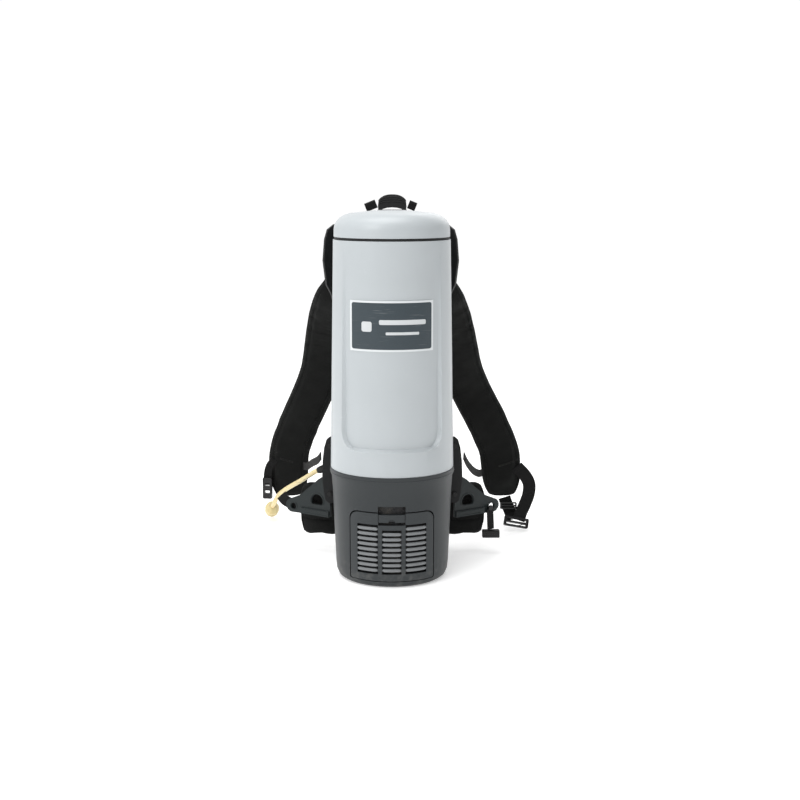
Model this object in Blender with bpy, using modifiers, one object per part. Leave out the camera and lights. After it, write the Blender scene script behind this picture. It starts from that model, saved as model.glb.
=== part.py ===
"""Backpack vacuum cleaner: a round canister on a motor base, carried on a harness.

Metres, +Z up. The origin is the centre of the base's flat underside, on the floor.
The exhaust door faces -Y and the wearer's back would be against the +Y side.
"""

import math

import bmesh
import bpy
from mathutils import Matrix, Vector

# Driving dimensions -------------------------------------------------------------

GAP = 0.0003
BASE_TOP = 0.170
BASE_RIM_R = 0.095
BASE_WALL = 0.0042
SHELL_TOP = 0.515
SHELL_R_LOW = 0.094
SHELL_R_HIGH = 0.088
SHELL_WALL = 0.0034
PANEL_R = 0.0868
PANEL_REACH_DEG = 52.0
PANEL_LOW = 0.2072
PANEL_HIGH = 0.496
PANEL_CORNER_R = 0.028
PANEL_EDGE_IN_DEG = 0.4
PANEL_EDGE_OUT_DEG = 1.6
FIXED_FRONT_DEG = 30.0
FIXED_SIDE_DEG = 58.0
LID_LOW = 0.519
LID_HIGH = 0.558
LID_R = 0.087
LID_WALL = 0.003
PORT_Y = 0.040
PORT_R = 0.0215
PORT_BORE_R = 0.0165
DOOR_LOW = 0.0100
DOOR_HIGH = 0.1165
DOOR_HALF_WIDTH = 0.0625
DOOR_THICKNESS = 0.003
DOOR_PIVOT = (0.0, -0.0830, 0.0120)
LATCH_HALF_WIDTH = 0.0195
LATCH_LOW = 0.1018
LATCH_HIGH = 0.1135
LATCH_POCKET_TOP = 0.1262
LATCH_TRAVEL = 0.0035
SLAT_PITCH = 0.0080
SLOT_HEIGHT = 0.0044
PLATE_FRONT_Y = 0.1000
PLATE_THICKNESS = 0.005
PLATE_SHIFT = -0.0022
HANDLE_PIVOT = (0.0, 0.1120, 0.5480)
HANDLE_HALF_WIDTH = 0.0225
HANDLE_SPRING = 0.5615
HANDLE_RISE = 0.0180
HANDLE_SQUARENESS = 0.50
HANDLE_DEPTH = 0.0110
TAB_LEAN = math.radians(22)
BELT_THICKNESS = 0.0022
PAD_THICKNESS = 0.014
STRAP_HALF_WIDTH = 0.0360
STRAP_LEAN = 0.028
STRAP_LEAN_HEIGHT = 0.27
STRAP_TOP_DRIFT = -0.0036
STRAP_SHIFT = -0.0015
CORD_R = 0.0039
LEFT_WEBBING_LIFT = 0.012
ROUND_STEPS = 64

# The cord's route, from its gland to its plug, chosen by hand.
CORD_ROUTE = [
    (-0.1190, 0.0940, 0.1412),
    (-0.1254, 0.1010, 0.1372),
    (-0.1395, 0.1300, 0.1228),
    (-0.1540, 0.1590, 0.1086),
    (-0.1690, 0.1870, 0.0950),
    (-0.1840, 0.2160, 0.0805),
    (-0.1950, 0.2390, 0.0680),
    (-0.2020, 0.2540, 0.0570),
    (-0.2075, 0.2685, 0.0455),
    (-0.2125, 0.2880, 0.0345),
]
PLUG_TIP = (-0.2190, 0.3330, 0.0152)
PLUG_R = 0.0122

# A shoulder pad's centre line on the +X side, from the anchor on the plate down.
STRAP_ROUTE = [
    (0.0420, 0.1150, 0.4720),
    (0.0590, 0.1165, 0.4480),
    (0.0740, 0.1220, 0.4265),
    (0.0846, 0.1302, 0.4130),
    (0.0915, 0.1458, 0.3987),
    (0.1020, 0.1756, 0.3698),
    (0.1110, 0.2090, 0.3262),
    (0.1202, 0.2297, 0.2829),
    (0.1378, 0.2448, 0.2395),
    (0.1593, 0.2564, 0.1959),
    (0.1715, 0.2628, 0.1667),
    (0.1802, 0.2670, 0.1450),
    (0.1850, 0.2710, 0.1150),
    (0.1878, 0.2720, 0.0560),
]


# Scene and materials ------------------------------------------------------------

def clear_scene():
    """Remove every object, so that the part is alone in the file."""
    for obj in list(bpy.data.objects):
        bpy.data.objects.remove(obj, do_unlink=True)


def new_collection(name):
    """Make a collection in the scene."""
    collection = bpy.data.collections.new(name)
    bpy.context.scene.collection.children.link(collection)
    return collection


def material(name, colour, roughness, metallic=0.0):
    """Make a Principled material."""
    made = bpy.data.materials.new(name)
    made.use_nodes = True
    shader = made.node_tree.nodes["Principled BSDF"]
    shader.inputs["Base Color"].default_value = (*colour, 1.0)
    shader.inputs["Roughness"].default_value = roughness
    shader.inputs["Metallic"].default_value = metallic
    return made


clear_scene()
PARTS = new_collection("backpack_vacuum")
CUTTERS = new_collection("cutters")

SHELL_GREY = material("shell_grey", (0.60, 0.62, 0.63), 0.38)
BASE_GREY = material("base_grey", (0.075, 0.083, 0.090), 0.45)
LOUVRE_GREY = material("louvre_grey", (0.085, 0.093, 0.100), 0.45)
FRAME_BLACK = material("frame_black", (0.030, 0.032, 0.034), 0.55)
WING_GREY = material("wing_grey", (0.050, 0.064, 0.066), 0.50)
PAD_BLACK = material("pad_black", (0.011, 0.011, 0.012), 0.85)
WEBBING_BLACK = material("webbing_black", (0.014, 0.014, 0.014), 0.80)
BUCKLE_BLACK = material("buckle_black", (0.016, 0.016, 0.016), 0.35)
RUBBER_BLACK = material("rubber_black", (0.020, 0.020, 0.020), 0.70)
SCREW_STEEL = material("screw_steel", (0.62, 0.62, 0.60), 0.28, 1.0)
BRASS = material("blade_brass", (0.72, 0.55, 0.28), 0.30, 1.0)
CORD_CREAM = material("cord_cream", (0.82, 0.70, 0.36), 0.45)
PLUG_TAN = material("plug_tan", (0.66, 0.53, 0.26), 0.50)
LABEL_SLATE = material("label_slate", (0.052, 0.086, 0.105), 0.35)
BAG_WHITE = material("bag_white", (0.75, 0.72, 0.66), 0.95)
FOAM_GREY = material("foam_grey", (0.10, 0.10, 0.11), 0.95)
MOTOR_STEEL = material("motor_steel", (0.45, 0.46, 0.47), 0.40, 1.0)
FAN_ALUMINIUM = material("fan_aluminium", (0.70, 0.71, 0.72), 0.35, 1.0)


# Modelling helpers --------------------------------------------------------------

def add(name, data, finish, collection=None):
    """Put a mesh or a curve in the scene as a named object."""
    obj = bpy.data.objects.new(name, data)
    (collection or PARTS).objects.link(obj)
    if finish is not None:
        data.materials.append(finish)
    return obj


def mesh_from(name, verts, edges=(), faces=()):
    """Make a mesh."""
    mesh = bpy.data.meshes.new(name)
    mesh.from_pydata([tuple(v) for v in verts], list(edges), list(faces))
    mesh.update()
    return mesh


def turned(name, outline, finish, steps=ROUND_STEPS, centre=(0.0, 0.0), collection=None):
    """Turn an outline of (radius, height) points about a vertical axis.

    The outline runs down its outer side. It is closed, unless it starts and ends
    on the axis.
    """
    verts = [(r, 0.0, z) for r, z in outline]
    edges = [(i, i + 1) for i in range(len(verts) - 1)]
    if outline[0][0] > 0.0 and outline[-1][0] > 0.0:
        edges.append((len(verts) - 1, 0))
    obj = add(name, mesh_from(name, verts, edges), finish, collection)
    obj.location = (centre[0], centre[1], 0.0)
    screw = obj.modifiers.new("turn", "SCREW")
    screw.axis = "Z"
    screw.steps = steps
    screw.render_steps = steps
    screw.use_merge_vertices = True
    screw.merge_threshold = 0.00001
    screw.use_smooth_shade = True
    return obj


def outline_curve(name, loops, thickness, finish, collection=None):
    """Extrude closed flat outlines, the first with the others as holes, along local Z."""
    curve = bpy.data.curves.new(name, "CURVE")
    curve.dimensions = "2D"
    curve.fill_mode = "BOTH"
    curve.extrude = thickness / 2
    for points in loops:
        spline = curve.splines.new("POLY")
        spline.points.add(len(points) - 1)
        for target, (x, y) in zip(spline.points, points):
            target.co = (x, y, 0.0, 1.0)
        spline.use_cyclic_u = True
    return add(name, curve, finish, collection)


def upright(obj, x=0.0, y=0.0, z=0.0, turn=0.0):
    """Stand a flat outline up, its local Y along +Z, and turn it about the vertical."""
    obj.matrix_world = (
        Matrix.Translation((x, y, z))
        @ Matrix.Rotation(turn, 4, "Z")
        @ Matrix.Rotation(math.radians(90), 4, "X")
    )
    return obj


def as_mesh(obj):
    """Turn a curve object into a welded mesh object, as a Boolean needs."""
    bpy.context.view_layer.update()
    graph = bpy.context.evaluated_depsgraph_get()
    mesh = bpy.data.meshes.new_from_object(obj.evaluated_get(graph))
    work = bmesh.new()
    work.from_mesh(mesh)
    bmesh.ops.remove_doubles(work, verts=work.verts, dist=0.00001)
    bmesh.ops.recalc_face_normals(work, faces=work.faces)
    work.to_mesh(mesh)
    work.free()
    name, place, collection = obj.name, obj.matrix_world.copy(), obj.users_collection[0]
    bpy.data.objects.remove(obj, do_unlink=True)
    made = bpy.data.objects.new(name, mesh)
    collection.objects.link(made)
    made.matrix_world = place
    return made


def box(name, low, high, finish, bevel=0.0, collection=None):
    """Make a box between two corners, with its edges rounded by a bevel."""
    mesh = bpy.data.meshes.new(name)
    work = bmesh.new()
    bmesh.ops.create_cube(work, size=1.0)
    size = [b - a for a, b in zip(low, high)]
    bmesh.ops.scale(work, vec=size, verts=work.verts)
    work.to_mesh(mesh)
    work.free()
    obj = add(name, mesh, finish, collection)
    obj.location = [(a + b) / 2 for a, b in zip(low, high)]
    if bevel:
        round_edges(obj, bevel)
    return obj


def round_edges(obj, width, segments=2, angle=40.0):
    """Round the sharp edges of an object."""
    bevel = obj.modifiers.new("edge", "BEVEL")
    bevel.width = width
    bevel.segments = segments
    bevel.limit_method = "ANGLE"
    bevel.angle_limit = math.radians(angle)
    return obj


def rod(name, start, end, r_start, finish, r_end=None, sides=20, collection=None):
    """Make a round rod or a cone between two points."""
    start, end = Vector(start), Vector(end)
    mesh = bpy.data.meshes.new(name)
    work = bmesh.new()
    bmesh.ops.create_cone(
        work, cap_ends=True, segments=sides, radius1=r_start,
        radius2=r_start if r_end is None else r_end, depth=(end - start).length,
    )
    work.to_mesh(mesh)
    work.free()
    mesh.shade_smooth()
    mesh.set_sharp_from_angle(angle=math.radians(40))
    obj = add(name, mesh, finish, collection)
    turn = (end - start).to_track_quat("Z", "Y").to_matrix().to_4x4()
    obj.matrix_world = Matrix.Translation((start + end) / 2) @ turn
    return obj


def cutter(obj):
    """Mark an object as a cutter, which isn't a piece of the vacuum."""
    for collection in list(obj.users_collection):
        collection.objects.unlink(obj)
    CUTTERS.objects.link(obj)
    obj.hide_render = True
    obj.display_type = "WIRE"
    return obj


def combine(obj, other, operation="DIFFERENCE"):
    """Add a Boolean modifier that cuts, joins or crosses an object with another."""
    modifier = obj.modifiers.new("boolean", "BOOLEAN")
    modifier.operation = operation
    modifier.object = cutter(other)
    modifier.solver = "EXACT"
    return obj


def thicken(obj, thickness, offset=-1.0):
    """Give an open surface its thickness."""
    solid = obj.modifiers.new("thickness", "SOLIDIFY")
    solid.thickness = thickness
    solid.offset = offset
    solid.use_even_offset = True
    return obj


def grid(name, rows, finish, thickness, closed=False, offset=-1.0):
    """Make a sheet from rows of points, then thicken it. closed joins each row's ends."""
    columns = len(rows[0])
    verts = [point for row in rows for point in row]
    faces = []
    for i in range(len(rows) - 1):
        for j in range(columns if closed else columns - 1):
            k = (j + 1) % columns
            low, high = i * columns, (i + 1) * columns
            faces.append((low + j, low + k, high + k, high + j))
    obj = add(name, mesh_from(name, verts, faces=faces), finish)
    return thicken(obj, thickness, offset)


def smooth_route(points, per_span):
    """Points along a Catmull-Rom curve through the given points."""
    route = [Vector(p) for p in points]
    ends = [route[0] * 2 - route[1], *route, route[-1] * 2 - route[-2]]
    made = []
    for i in range(1, len(ends) - 2):
        a, b, c, d = ends[i - 1:i + 3]
        for step in range(per_span):
            t = step / per_span
            made.append(
                0.5 * (2 * b + (c - a) * t + (2 * a - 5 * b + 4 * c - d) * t ** 2
                       + (3 * b - a - 3 * c + d) * t ** 3)
            )
    made.append(route[-1])
    return made


def ribbon(name, route, half_width, face, thickness, finish, columns=1):
    """Make a flat strap along a route.

    half_width is a number or a function of the share of the route's length, and
    face is roughly the direction that the strap's flat side faces.
    """
    rows = []
    count = len(route)
    for i, point in enumerate(route):
        ahead = (route[min(i + 1, count - 1)] - route[max(i - 1, 0)]).normalized()
        side = ahead.cross(Vector(face)).normalized()
        half = half_width(i / (count - 1)) if callable(half_width) else half_width
        rows.append([point + side * half * (2 * j / columns - 1) for j in range(columns + 1)])
    return grid(name, rows, finish, thickness, offset=0.0)


def mirrored(points, side):
    """Points with their X times the side, which is 1 or -1."""
    return [(x * side, y, z) for x, y, z in points]


def arc(cx, cy, r, start, end, count):
    """Points on an arc, from one angle to another in degrees."""
    made = []
    for i in range(count + 1):
        a = math.radians(start + (end - start) * i / count)
        made.append((cx + r * math.cos(a), cy + r * math.sin(a)))
    return made


def rounded(x0, y0, x1, y1, r_low, r_high=None, count=4):
    """A rectangle's outline, with its lower and its upper corners rounded."""
    r_high = r_low if r_high is None else r_high
    return (
        arc(x0 + r_low, y0 + r_low, r_low, 180, 270, count)
        + arc(x1 - r_low, y0 + r_low, r_low, 270, 360, count)
        + arc(x1 - r_high, y1 - r_high, r_high, 0, 90, count)
        + arc(x0 + r_high, y1 - r_high, r_high, 90, 180, count)
    )


# Housing ------------------------------------------------------------------------

def shell_radius(z):
    """Outer radius of the canister at a height."""
    return SHELL_R_LOW + (SHELL_R_HIGH - SHELL_R_LOW) * (z - BASE_TOP) / (SHELL_TOP - BASE_TOP)


def base_outline(inset):
    """The base's outer side, from its rim down to its foot, moved in by inset."""
    side = [
        (BASE_RIM_R, BASE_TOP), (BASE_RIM_R, 0.1625), (0.0928, 0.1570), (0.0912, 0.1350),
        (0.0898, 0.1000), (0.0884, 0.0600), (0.0868, 0.0230), (0.0855, 0.0110),
        (0.0822, 0.0035), (0.0770, 0.0),
    ]
    return [(r - inset, z) for r, z in side]


def door_prism(name, grow, top):
    """The door's outline as a solid that reaches through the front wall."""
    outline = rounded(
        -DOOR_HALF_WIDTH - grow, DOOR_LOW - grow, DOOR_HALF_WIDTH + grow, top + grow,
        0.003, 0.012,
    )
    obj = outline_curve(name, [outline], 0.070, None)
    return as_mesh(upright(obj, y=-0.085))


def make_base():
    """The motor base: a cup with the door's opening, the latch pocket and the switch hole."""
    inner = base_outline(BASE_WALL)[:-1]
    inner = [(r, max(z, BASE_WALL)) for r, z in inner]
    outline = base_outline(0.0) + [(0.0, 0.0), (0.0, BASE_WALL)]
    outline += [(0.0740, BASE_WALL)] + list(reversed(inner[:-1]))
    start = outline.index((0.0, BASE_WALL))
    outline = outline[start:] + outline[:start]
    base = turned("base_housing", outline, BASE_GREY, steps=60)
    combine(base, door_prism("door_opening", 0.0008, DOOR_HIGH))
    pocket = box(
        "latch_pocket", (-LATCH_HALF_WIDTH - 0.001, -0.12, 0.110),
        (LATCH_HALF_WIDTH + 0.001, -0.05, LATCH_POCKET_TOP), None,
    )
    combine(base, pocket)
    combine(base, switch_block("switch_hole", 0.0120, 0.0160, 0.070, 0.100))


def base_radius(z):
    """Outer radius of the base at a height."""
    side = base_outline(0.0)
    for (r_high, z_high), (r_low, z_low) in zip(side, side[1:]):
        if z >= z_low:
            return r_low + (r_high - r_low) * (z - z_low) / (z_high - z_low)
    return side[-1][0]


def door_band(name, inset, thickness, low, high):
    """A ring that follows the base's outer side between two heights."""
    knuckles = {z for r, z in base_outline(0.0) if low < z < high}
    heights = sorted(knuckles | {low, high}, reverse=True)
    outer = [(base_radius(z) - inset, z) for z in heights]
    inner = [(r - thickness, z) for r, z in reversed(outer)]
    return turned(name, outer + inner, None, steps=60)


def make_door():
    """The exhaust door: a curved panel with three columns of louvre slots."""
    door = door_band("exhaust_door", 0.0, DOOR_THICKNESS, 0.0105, 0.1160)
    door.data.materials.append(LOUVRE_GREY)
    combine(door, door_prism("door_outline", -0.0004, DOOR_HIGH - 0.0006), "INTERSECT")
    notch = box(
        "latch_notch", (-LATCH_HALF_WIDTH - 0.0008, -0.12, LATCH_LOW - LATCH_TRAVEL - 0.001),
        (LATCH_HALF_WIDTH + 0.0008, -0.05, 0.13), None,
    )
    combine(door, notch)
    columns = [(-0.0515, -0.0205, 0.0215, 10), (-0.0145, 0.0145, 0.0215, 9), (0.0205, 0.0515, 0.0215, 10)]
    mesh = bpy.data.meshes.new("slots")
    work = bmesh.new()
    for x0, x1, z0, count in columns:
        for i in range(count):
            low = z0 + i * SLAT_PITCH
            place = Matrix.Translation(((x0 + x1) / 2, -0.085, low + SLOT_HEIGHT / 2))
            size = Matrix.Diagonal((x1 - x0, 0.070, SLOT_HEIGHT, 1.0))
            bmesh.ops.create_cube(work, size=1.0, matrix=place @ size)
    work.to_mesh(mesh)
    work.free()
    combine(door, add("slots", mesh, None))
    pivot = bpy.data.objects.new("door_pivot", None)
    PARTS.objects.link(pivot)
    pivot.location = DOOR_PIVOT
    door.parent = pivot
    door.location = tuple(-c for c in DOOR_PIVOT)

    tab = door_band("door_latch", 0.0002, 0.0075, LATCH_LOW, LATCH_HIGH)
    tab.data.materials.append(BASE_GREY)
    block = box(
        "latch_outline", (-LATCH_HALF_WIDTH, -0.12, LATCH_LOW - 0.01),
        (LATCH_HALF_WIDTH, -0.05, LATCH_HIGH + 0.01), None,
    )
    combine(tab, block, "INTERSECT")
    finger = rod("latch_finger", (0, -0.095, 0.1010), (0, -0.083, 0.1010), 0.0055, None, sides=16)
    combine(tab, finger)

    filter_band = door_band("exhaust_filter", 0.0085, 0.0095, 0.0135, 0.1290)
    filter_band.data.materials.append(FOAM_GREY)
    combine(filter_band, box("filter_outline", (-0.056, -0.12, 0.0), (0.056, -0.02, 0.2), None), "INTERSECT")


def switch_block(name, half_across, half_high, r_inner, r_outer):
    """A block across the base's wall at the switch, on the wearer's right hand side."""
    low = (r_inner, -half_across, 0.050 - half_high)
    high = (r_outer, half_across, 0.050 + half_high)
    obj = box(name, low, high, None)
    angle = math.radians(24)
    middle = Vector(((r_inner + r_outer) / 2, 0, 0.050))
    obj.matrix_world = Matrix.Rotation(angle, 4, "Z") @ Matrix.Translation(middle)
    return obj


def make_switch():
    """The power switch: a bezel in the base's wall with a rocker on its own axis."""
    bezel = switch_block("switch_bezel", 0.0117, 0.0157, 0.0790, 0.0896)
    bezel.data.materials.append(BUCKLE_BLACK)
    combine(bezel, switch_block("rocker_hole", 0.0078, 0.0118, 0.0815, 0.1000))
    rocker = switch_block("switch_rocker", 0.0072, 0.0100, 0.0840, 0.0902)
    rocker.data.materials.append(FRAME_BLACK)
    round_edges(rocker, 0.0012)


def panel_reach(z):
    """How many degrees round from the front the panel's edge is at a height: its low corners are round."""
    short = min(max(PANEL_CORNER_R - (z - PANEL_LOW), 0.0), PANEL_CORNER_R)
    cut = PANEL_CORNER_R - math.sqrt(PANEL_CORNER_R ** 2 - short ** 2)
    return PANEL_REACH_DEG - math.degrees(cut / PANEL_R)


def shell_columns(reach):
    """Degrees round from the front to each of the canister's columns on one side."""
    inner, outer = reach - PANEL_EDGE_IN_DEG, reach + PANEL_EDGE_OUT_DEG
    front = [FIXED_FRONT_DEG * i / 4 for i in range(5)]
    up_to_edge = [FIXED_FRONT_DEG + (inner - FIXED_FRONT_DEG) * i / 3 for i in (1, 2, 3)]
    past_edge = [outer + (FIXED_SIDE_DEG - outer) * i / 3 for i in (0, 1, 2)]
    rear = [FIXED_SIDE_DEG + (180 - FIXED_SIDE_DEG) * i / 13 for i in range(13)]
    return front + up_to_edge + past_edge + rear


def make_shell():
    """The canister, a tapered tube with a shallow round-cornered panel let into its front."""
    heights = [BASE_TOP + GAP, 0.190, 0.201, PANEL_LOW, 0.2112, 0.2165, 0.2235, 0.2355,
               0.280, 0.340, 0.430, 0.486, 0.500, SHELL_TOP]
    rows = []
    for z in heights:
        reach = panel_reach(z)
        columns = shell_columns(reach)
        row = []
        for a in [-c for c in reversed(columns[1:])] + columns + [180]:
            inside = abs(a) < reach and PANEL_LOW < z < PANEL_HIGH
            r = min(shell_radius(z), PANEL_R) if inside else shell_radius(z)
            row.append((r * math.sin(math.radians(a)), -r * math.cos(math.radians(a)), z))
        rows.append(row)
    shell = grid("main_shell", rows, SHELL_GREY, SHELL_WALL, closed=True)
    shell.data.shade_smooth()
    shell.data.set_sharp_from_angle(angle=math.radians(25))

    label_rows = []
    for z in (0.356, 0.430):
        label_rows.append([
            (0.0877 * math.sin(math.radians(a)), -0.0877 * math.cos(math.radians(a)), z)
            for a in [-43.7 + 87.4 * i / 14 for i in range(15)]
        ])
    grid("label_plate", label_rows, LABEL_SLATE, 0.0005)
    turned(
        "lid_gasket",
        [(0.0864, LID_LOW - GAP), (0.0864, SHELL_TOP + GAP), (0.0795, SHELL_TOP + GAP),
         (0.0795, LID_LOW - GAP)],
        RUBBER_BLACK,
    )


def lid_outline(inset):
    """The lid's outer side from the middle of its crown down to its rim."""
    crown = [(0.0, LID_HIGH - inset), (0.030, LID_HIGH - 0.0008 - inset)]
    centre_r, centre_z = LID_R - 0.032, LID_HIGH - 0.0035 - 0.0250
    bend = [
        (centre_r + (0.032 - inset) * math.sin(a), centre_z + (0.0250 - inset) * math.cos(a))
        for a in [math.radians(90 * i / 6) for i in range(7)]
    ]
    return crown + bend + [(LID_R - inset, LID_LOW)]


def make_lid():
    """The lid: a domed cap with a hose port, its spigot and its swivel collar."""
    outline = lid_outline(0.0) + list(reversed(lid_outline(LID_WALL)))
    lid = turned("lid_cap", outline, SHELL_GREY, steps=60)
    hole = rod("port_hole", (0, PORT_Y, 0.50), (0, PORT_Y, 0.60), PORT_R + 0.0004, None, sides=32)
    combine(lid, hole)
    place = (0.0, PORT_Y)
    turned(
        "inlet_spigot",
        [(PORT_R, 0.5440), (PORT_R, 0.4870), (PORT_BORE_R, 0.4870), (PORT_BORE_R, 0.5440)],
        FRAME_BLACK, steps=32, centre=place,
    )
    turned(
        "hose_swivel_collar",
        [(PORT_R - 0.001, 0.5575), (PORT_R, 0.5565), (PORT_R, 0.5443), (PORT_BORE_R, 0.5443),
         (PORT_BORE_R, 0.5565), (PORT_BORE_R + 0.001, 0.5575)],
        RUBBER_BLACK, steps=32, centre=place,
    )


# Inside -------------------------------------------------------------------------

def make_inside():
    """The motor, its fan, the seals, the filters and the dust bag."""
    turned(
        "motor_can",
        [(0.0440, 0.1040), (0.0550, 0.0990), (0.0550, 0.0420), (0.0500, 0.0360),
         (0.0090, 0.0360), (0.0090, 0.1040)],
        MOTOR_STEEL, steps=36,
    )
    turned(
        "motor_shaft",
        [(0.0, 0.1560), (0.0055, 0.1560), (0.0055, 0.0300), (0.0, 0.0300)],
        FAN_ALUMINIUM, steps=16,
    )
    turned(
        "fan_housing",
        [(0.0690, 0.1600), (0.0690, 0.1080), (0.0120, 0.1080), (0.0120, 0.1105),
         (0.0660, 0.1105), (0.0660, 0.1570), (0.0240, 0.1570), (0.0240, 0.1600)],
        MOTOR_STEEL, steps=32,
    )
    fan = turned(
        "fan_impeller",
        [(0.0620, 0.1180), (0.0620, 0.1160), (0.0060, 0.1160), (0.0060, 0.1480),
         (0.0120, 0.1480), (0.0150, 0.1180)],
        FAN_ALUMINIUM, steps=36,
    )
    for i in range(8):
        blade = box(f"blade_{i}", (-0.0225, -0.0008, -0.014), (0.0225, 0.0008, 0.014), None)
        turn = Matrix.Rotation(math.radians(45 * i), 4, "Z")
        sweep = Matrix.Rotation(math.radians(28), 4, "Z")
        blade.matrix_world = turn @ Matrix.Translation((0.0360, 0.0, 0.1310)) @ sweep
        combine(fan, blade, "UNION")
    turned(
        "motor_seal_ring",
        [(0.0660, 0.1680), (0.0660, 0.1603), (0.0520, 0.1603), (0.0520, 0.1680)],
        RUBBER_BLACK, steps=36,
    )
    turned(
        "motor_bulkhead",
        [(0.0898, 0.1738), (0.0898, 0.1684), (0.0300, 0.1684), (0.0300, 0.1738)],
        FRAME_BLACK, steps=48,
    )
    turned(
        "pre_motor_filter",
        [(0.0, 0.1900), (0.0800, 0.1900), (0.0830, 0.1870), (0.0830, 0.1745), (0.0, 0.1745)],
        FOAM_GREY, steps=48,
    )
    bag = [(0.0, 0.4800)]
    for i in range(6):
        a = math.radians(90 * i / 5)
        bag.append((0.048 + 0.026 * math.sin(a), 0.4500 + 0.0300 * math.cos(a)))
    for i in range(6):
        a = math.radians(90 * i / 5)
        bag.append((0.040 + 0.034 * math.cos(a), 0.2350 - 0.0400 * math.sin(a)))
    turned("filter_bag", bag + [(0.0, 0.1950)], BAG_WHITE, steps=28)
    collar = turned(
        "bag_collar",
        [(0.0, 0.4840), (0.0680, 0.4840), (0.0680, 0.4806), (0.0, 0.4806)], PLUG_TAN, steps=48,
    )
    combine(collar, rod("collar_hole", (0, PORT_Y, 0.47), (0, PORT_Y, 0.50), 0.0200, None, sides=24))


# Harness frame ------------------------------------------------------------------

def make_backplate():
    """The carrying plate behind the canister, with its edges turned forward."""
    widths = [
        (0.0850, 0.0700), (0.1000, 0.0840), (0.2000, 0.0880), (0.3000, 0.0880),
        (0.4050, 0.0880), (0.4250, 0.0930), (0.4400, 0.1000), (0.4780, 0.1040),
        (0.5110, 0.1015), (0.5260, 0.0975), (0.5340, 0.0880), (0.5355, 0.0760),
    ]
    rows = []
    for z, half in widths:
        row = []
        for j in range(-7, 8):
            x = half * j / 7
            bend = max(abs(x) - 0.058, 0.0)
            row.append((x + PLATE_SHIFT, PLATE_FRONT_Y - 9.0 * bend ** 2, z))
        rows.append(row)
    plate = grid("backplate", rows, FRAME_BLACK, PLATE_THICKNESS, offset=-1.0)
    plate.data.shade_smooth()
    pad = box("back_pad", (-0.074, 0.1056, 0.150), (0.074, 0.1250, 0.384), PAD_BLACK)
    round_edges(pad, 0.009, 3)
    lumbar = box("lumbar_pad", (-0.052, 0.1056, 0.0600), (0.052, 0.1310, 0.1400), PAD_BLACK)
    round_edges(lumbar, 0.010, 3)


def make_flange(side, name):
    """The lower side bracket: a front plate, and a web back to the carrying plate."""
    face = [(0.0780, 0.0965), (0.1010, 0.0965), (0.1060, 0.1010), (0.1085, 0.1150),
            (0.1110, 0.1380), (0.1100, 0.1650), (0.1075, 0.1860), (0.1040, 0.1980),
            (0.0985, 0.2030), (0.0900, 0.2030), (0.0780, 0.1960)]
    front = outline_curve(name, [face], 0.006, None)
    front = as_mesh(upright(front, y=0.0590))
    front.data.materials.append(FRAME_BLACK)
    web = box(f"{name}_web", (0.0920, 0.0600, 0.1010), (0.0970, 0.0905, 0.1930), None)
    if side < 0:
        for obj in (front, web):
            for vert in obj.data.vertices:
                vert.co.x = -vert.co.x
            obj.data.flip_normals()
            obj.location.x = -obj.location.x
    combine(front, web, "UNION")
    return front


def make_wing(side, name):
    """The hip wing: a flat triangular plate with two holes and a ribbed lower bar."""
    u = lambda x: (x - 0.0985) / math.cos(math.radians(32))
    outline = (
        [(u(0.0985), 0.0700), (u(0.1450), 0.0690)]
        + [(u(0.1620) + 0.0125 * math.cos(a), 0.0800 + 0.0115 * math.sin(a))
           for a in [math.radians(-80 + 140 * i / 7) for i in range(8)]]
        + [(u(0.1490), 0.0990), (u(0.1345), 0.1125), (u(0.1180), 0.1290), (u(0.1120), 0.1335),
           (u(0.1040), 0.1345), (u(0.0985), 0.1320)]
    )
    small = arc(u(0.1600), 0.0790, 0.0052, 0, 330, 11)
    big = arc(u(0.1200), 0.0930, 0.0112, -32, 212, 11)
    plate = outline_curve(name, [outline, small, big], 0.0040, None)
    plate = as_mesh(plate)
    plate.data.materials.append(WING_GREY)
    lean = math.radians(32)
    upright(plate, x=0.0985, y=0.0712, turn=lean)
    bar = box(f"{name}_bar", (u(0.1000), -0.0045, 0.0693), (u(0.1470), 0.0, 0.0790), None)
    bar.matrix_world = (
        Matrix.Translation((0.0985, 0.0712, 0.0)) @ Matrix.Rotation(lean, 4, "Z")
        @ bar.matrix_basis
    )
    combine(plate, bar, "UNION")
    for obj in (plate, bar):
        obj.data.transform(obj.matrix_world if obj is plate else bar.matrix_basis)
        obj.matrix_world = Matrix.Identity(4)
        if side < 0:
            for vert in obj.data.vertices:
                vert.co.x = -vert.co.x
            obj.data.flip_normals()
    return plate


def make_harness_frame():
    """The carrying plate's brackets, their screws and the hip wings."""
    make_backplate()
    for side, word in ((1, "right"), (-1, "left")):
        make_flange(side, f"flange_{word}")
        for z, level in ((0.1890, "upper"), (0.1115, "lower")):
            x = side * 0.0985
            screw = rod(f"screw_{word}_{level}", (x, 0.0557, z), (x, 0.0532, z), 0.0034,
                        SCREW_STEEL, sides=14)
            round_edges(screw, 0.0006, 1)
        make_wing(side, f"hip_wing_{word}")


def grip_outline():
    """The grip seen from the front: a low arch above, and the finger gap's roof below."""
    above = []
    for i in range(15):
        a = math.pi * i / 14
        pull_in = 1.0 - 0.10 * math.sin(2 * a) ** 2
        above.append((HANDLE_HALF_WIDTH * math.cos(a) * pull_in,
                      HANDLE_SPRING + HANDLE_RISE * math.sin(a) ** HANDLE_SQUARENESS))
    roof = [(0.0170, 0.5535), (0.0150, 0.5572), (0.0080, 0.5592), (0.0, 0.5598)]
    under = [(-0.0215, 0.5535)] + mirrored_outline(roof) + roof[::-1][1:] + [(0.0215, 0.5535)]
    return above + under


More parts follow.
